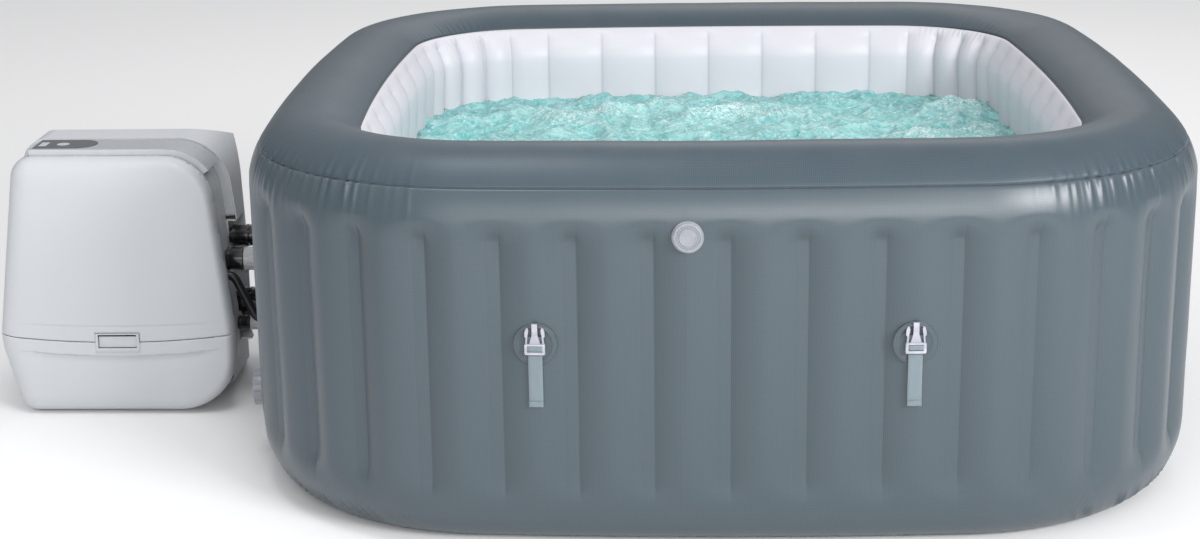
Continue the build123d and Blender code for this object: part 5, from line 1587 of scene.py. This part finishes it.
@dataclass
class CapRing:
    """Raised ring and grip marks on the face of the air valve's cap."""

    x: float = -0.062
    z: float = 0.573
    face_y: float = -0.0105
    lean: float = math.radians(4)
    radii: tuple[float, ...] = (0.0128, 0.0132, 0.0144, 0.0148)
    rim_radii: tuple[float, ...] = (0.0212, 0.0216, 0.0226, 0.0230)
    lift: float = 0.0005
    sides: int = 64
    marks: int = 24
    mark_radii: tuple[float, float] = (0.0162, 0.0196)
    mark_half: float = 0.0006

    def build(self) -> None:
        """Make the two rings and the marks between them."""
        place = OUTLINE.place(self.x, self.z) @ Matrix.Rotation(-self.lean, 4, "X")
        turn = np.arange(self.sides) / self.sides * 2 * math.pi
        points, faces = [], []
        for radii in (np.array(self.radii), np.array(self.rim_radii)):
            y = self.face_y + np.array([0.0004, -self.lift, -self.lift, 0.0004])
            start = sum(len(block) for block in points)
            ring = np.stack([radii[None, :] * np.cos(turn)[:, None], np.broadcast_to(y, (self.sides, 4)),
                             radii[None, :] * np.sin(turn)[:, None]], -1)
            points.append(ring.reshape(-1, 3))
            faces += [[start + k for k in face[::-1]] for face in grid_faces(self.sides, 4, True)]
        block_faces = ((0, 1, 2, 3), (7, 6, 5, 4), (0, 4, 5, 1), (1, 5, 6, 2), (2, 6, 7, 3), (3, 7, 4, 0))
        for angle in np.arange(self.marks) / self.marks * 2 * math.pi:
            start = sum(len(block) for block in points)
            points.append(self.mark(angle))
            faces += [[start + k for k in face] for face in block_faces]
        solid = Straps.to_frame(place, np.concatenate(points))
        make_piece("air_valve_cap_ring", solid, faces, Kit.FITTING, "air_valve_cap")

    def mark(self, angle: float) -> Array:
        """Eight corners of one grip mark: its foot, then its narrower top."""
        out = np.array([math.cos(angle), 0, math.sin(angle)])
        side = np.array([-math.sin(angle), 0, math.cos(angle)])
        near, far = self.mark_radii
        corners = []
        for y, grow in ((self.face_y + 0.0003, 1.0), (self.face_y - 0.0004, 0.6)):
            half = self.mark_half * grow
            for radius, shift in ((near, -half), (far, -half), (far, half), (near, half)):
                corners.append(out * radius + side * shift + np.array([0, y, 0]))
        return np.array(corners)


# ------------------------------------------------------------------ carried-over parts

@dataclass
class CarriedParts:
    """Finishes of the pieces whose CAD shape stays."""

    finishes: dict[Kit, tuple[str, ...]]

    def build(self) -> None:
        """Dress every carried-over node."""
        for kit, names in self.finishes.items():
            for name in names:
                kit.dress(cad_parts[name])
            LOG.info("%s on %d nodes", kit.name.lower(), len(names))


def carried_parts() -> CarriedParts:
    """Which finish each remaining node takes."""
    buckles = tuple(f"buckle_{number}" for number in range(1, 9))
    return CarriedParts({
        Kit.BUCKLE: buckles,
        Kit.FITTING: ("air_valve_body", "air_valve_cap", "valve_stem", "drain_valve_body", "drain_cap",
                      "drain_tether"),
        Kit.FITTING_WHITE: ("jet_nozzles", "inlet_screens", "wall_spigots"),
        Kit.HOSE_WHITE: ("jet_pipes", "through_hoses"),
        Kit.CASE: ("rear_cover", "cover_latch"),
        Kit.BAR: ("control_bar",),
        Kit.CHANNEL: ("centre_frame",),
        Kit.CHASSIS: ("pump_base", "cord_gland"),
        Kit.RUBBER: ("rubber_feet",),
        Kit.PANEL: ("panel_lens",),
        Kit.LIGHTS: ("panel_lights",),
        Kit.STEEL: ("case_screws",),
        Kit.COUPLING: ("hose_sockets", "coupling_seals", "union_nut_heated_return", "union_nut_jet_suction"),
        Kit.NUT: ("union_nut_jet_supply", "union_nut_filter_suction"),
        Kit.HOSE: ("air_hose", "internal_pipes"),
        Kit.HEATER: ("heater_tube",),
        Kit.BOARD: ("control_board",),
        Kit.MOTOR: ("circ_motor", "jet_motor", "blower_motor"),
        Kit.WHEEL: ("circ_volute", "jet_volute", "blower_housing", "circ_impeller", "jet_impeller",
                    "blower_fan"),
    })


# ------------------------------------------------------------------ studio

@dataclass
class Studio:
    """Pale floor, soft light and the camera."""

    lens: float = 63.07
    eye: tuple[float, float, float] = (-0.0855, -4.2976, 1.4784)
    yaw: float = -0.0365
    pitch: float = 0.2755
    roll: float = -0.0152

    def build(self) -> None:
        """Set up the studio."""
        self.floor()
        self.world()
        self.softbox("key_light", (3.4, -4.4, 2.7), (0.1, -0.6, 0.5), (2.2, 1.3), 215.0)
        self.softbox("band_light", (0.8, -5.2, 1.9), (0.2, -0.8, 0.62), (2.4, 0.5), 60.0)
        self.softbox("fill_light", (-1.4, -5.0, 1.6), (-0.9, -0.3, 0.35), (2.2, 1.8), 30.0)
        self.softbox("back_light", (0.6, 4.2, 3.6), (0.0, 0.4, 0.4), (3.2, 1.6), 30.0)
        self.softbox("gap_light", (-0.75, -1.0, 2.6), (-1.06, -0.08, 0.35), (0.7, 0.7), 14.0)
        self.camera()
        view = bpy.context.scene.view_settings
        view.view_transform = "Standard"

    def floor(self) -> None:
        """Wide round floor, just under the tub."""
        turn = np.linspace(0, 2 * math.pi, 97)[:-1]
        rings = np.array([0.02, 2.0, 5.0, 9.0, 14.0, 20.0])
        x = rings[None, :] * np.cos(turn)[:, None]
        y = rings[None, :] * np.sin(turn)[:, None]
        points = np.stack([x, y, np.full(x.shape, -0.0006)], -1).reshape(-1, 3)
        faces = [face[::-1] for face in grid_faces(len(turn), len(rings), True)]
        mesh = bpy.data.meshes.new("studio_floor")
        mesh.from_pydata(points.tolist(), [], faces)
        piece = add_object("studio_floor", mesh)
        Kit.FLOOR.dress(piece)

    def world(self) -> None:
        """Bright at the horizon and dimmer overhead."""
        world = bpy.data.worlds.new("studio_world")
        world.use_nodes = True
        world.node_tree.nodes.clear()
        graph = Graph(world.node_tree)
        parts = graph.node("ShaderNodeSeparateXYZ")
        graph.feed(parts.inputs[0], graph.node("ShaderNodeTexCoord").outputs["Generated"])
        up = graph.span(parts.outputs["Z"], 0.06, 0.7)
        colour = graph.blend(up, (0.22, 0.23, 0.24), (0.82, 0.82, 0.83))
        glow = graph.node("ShaderNodeBackground")
        graph.feed(glow.inputs["Color"], colour)
        glow.inputs["Strength"].default_value = 0.92
        graph.feed(graph.node("ShaderNodeOutputWorld").inputs["Surface"], glow.outputs[0])
        bpy.context.scene.world = world

    def softbox(self, name: str, at: Sequence[float], aim: Sequence[float], size: tuple[float, float],
                power: float) -> None:
        """One rectangular soft light."""
        light = bpy.data.lights.new(name, "AREA")
        light.shape = "RECTANGLE"
        light.size, light.size_y = size
        light.energy = power
        holder = add_object(name, light)
        holder.location = at
        holder.rotation_euler = (Vector(aim) - Vector(at)).to_track_quat("-Z", "Y").to_euler()

    def camera(self) -> None:
        """Camera slightly above the rim, in front."""
        cy, sy = math.cos(self.yaw), math.sin(self.yaw)
        cp, sp = math.cos(self.pitch), math.sin(self.pitch)
        forward = Vector((sy * cp, cy * cp, -sp))
        right = Vector((cy, -sy, 0.0))
        up = right.cross(forward)
        level, tilt = math.cos(self.roll), math.sin(self.roll)
        x_axis, y_axis = level * right + tilt * up, -tilt * right + level * up
        data = bpy.data.cameras.new("camera")
        data.lens = self.lens
        data.sensor_width = 36.0
        holder = add_object("camera", data)
        columns = Matrix((x_axis, y_axis, -forward)).transposed().to_4x4()
        holder.matrix_world = Matrix.Translation(self.eye) @ columns
        bpy.context.scene.camera = holder


# ------------------------------------------------------------------ whole scene


def main() -> None:
    """Build the studio, then the tub from the outside in, then the pump unit."""
    logging.basicConfig(level=logging.INFO, format="%(name)s: %(message)s")
    Studio().build()
    wall = InflatedWall()
    front = PumpFront()
    for part in (wall, Floor(wall), BeamWebs(), Water(), Straps(), front, RearLip(front), CapRing(),
                 carried_parts()):
        part.build()
        LOG.info("built %s", type(part).__name__)


if __name__ == "__main__":
    main()
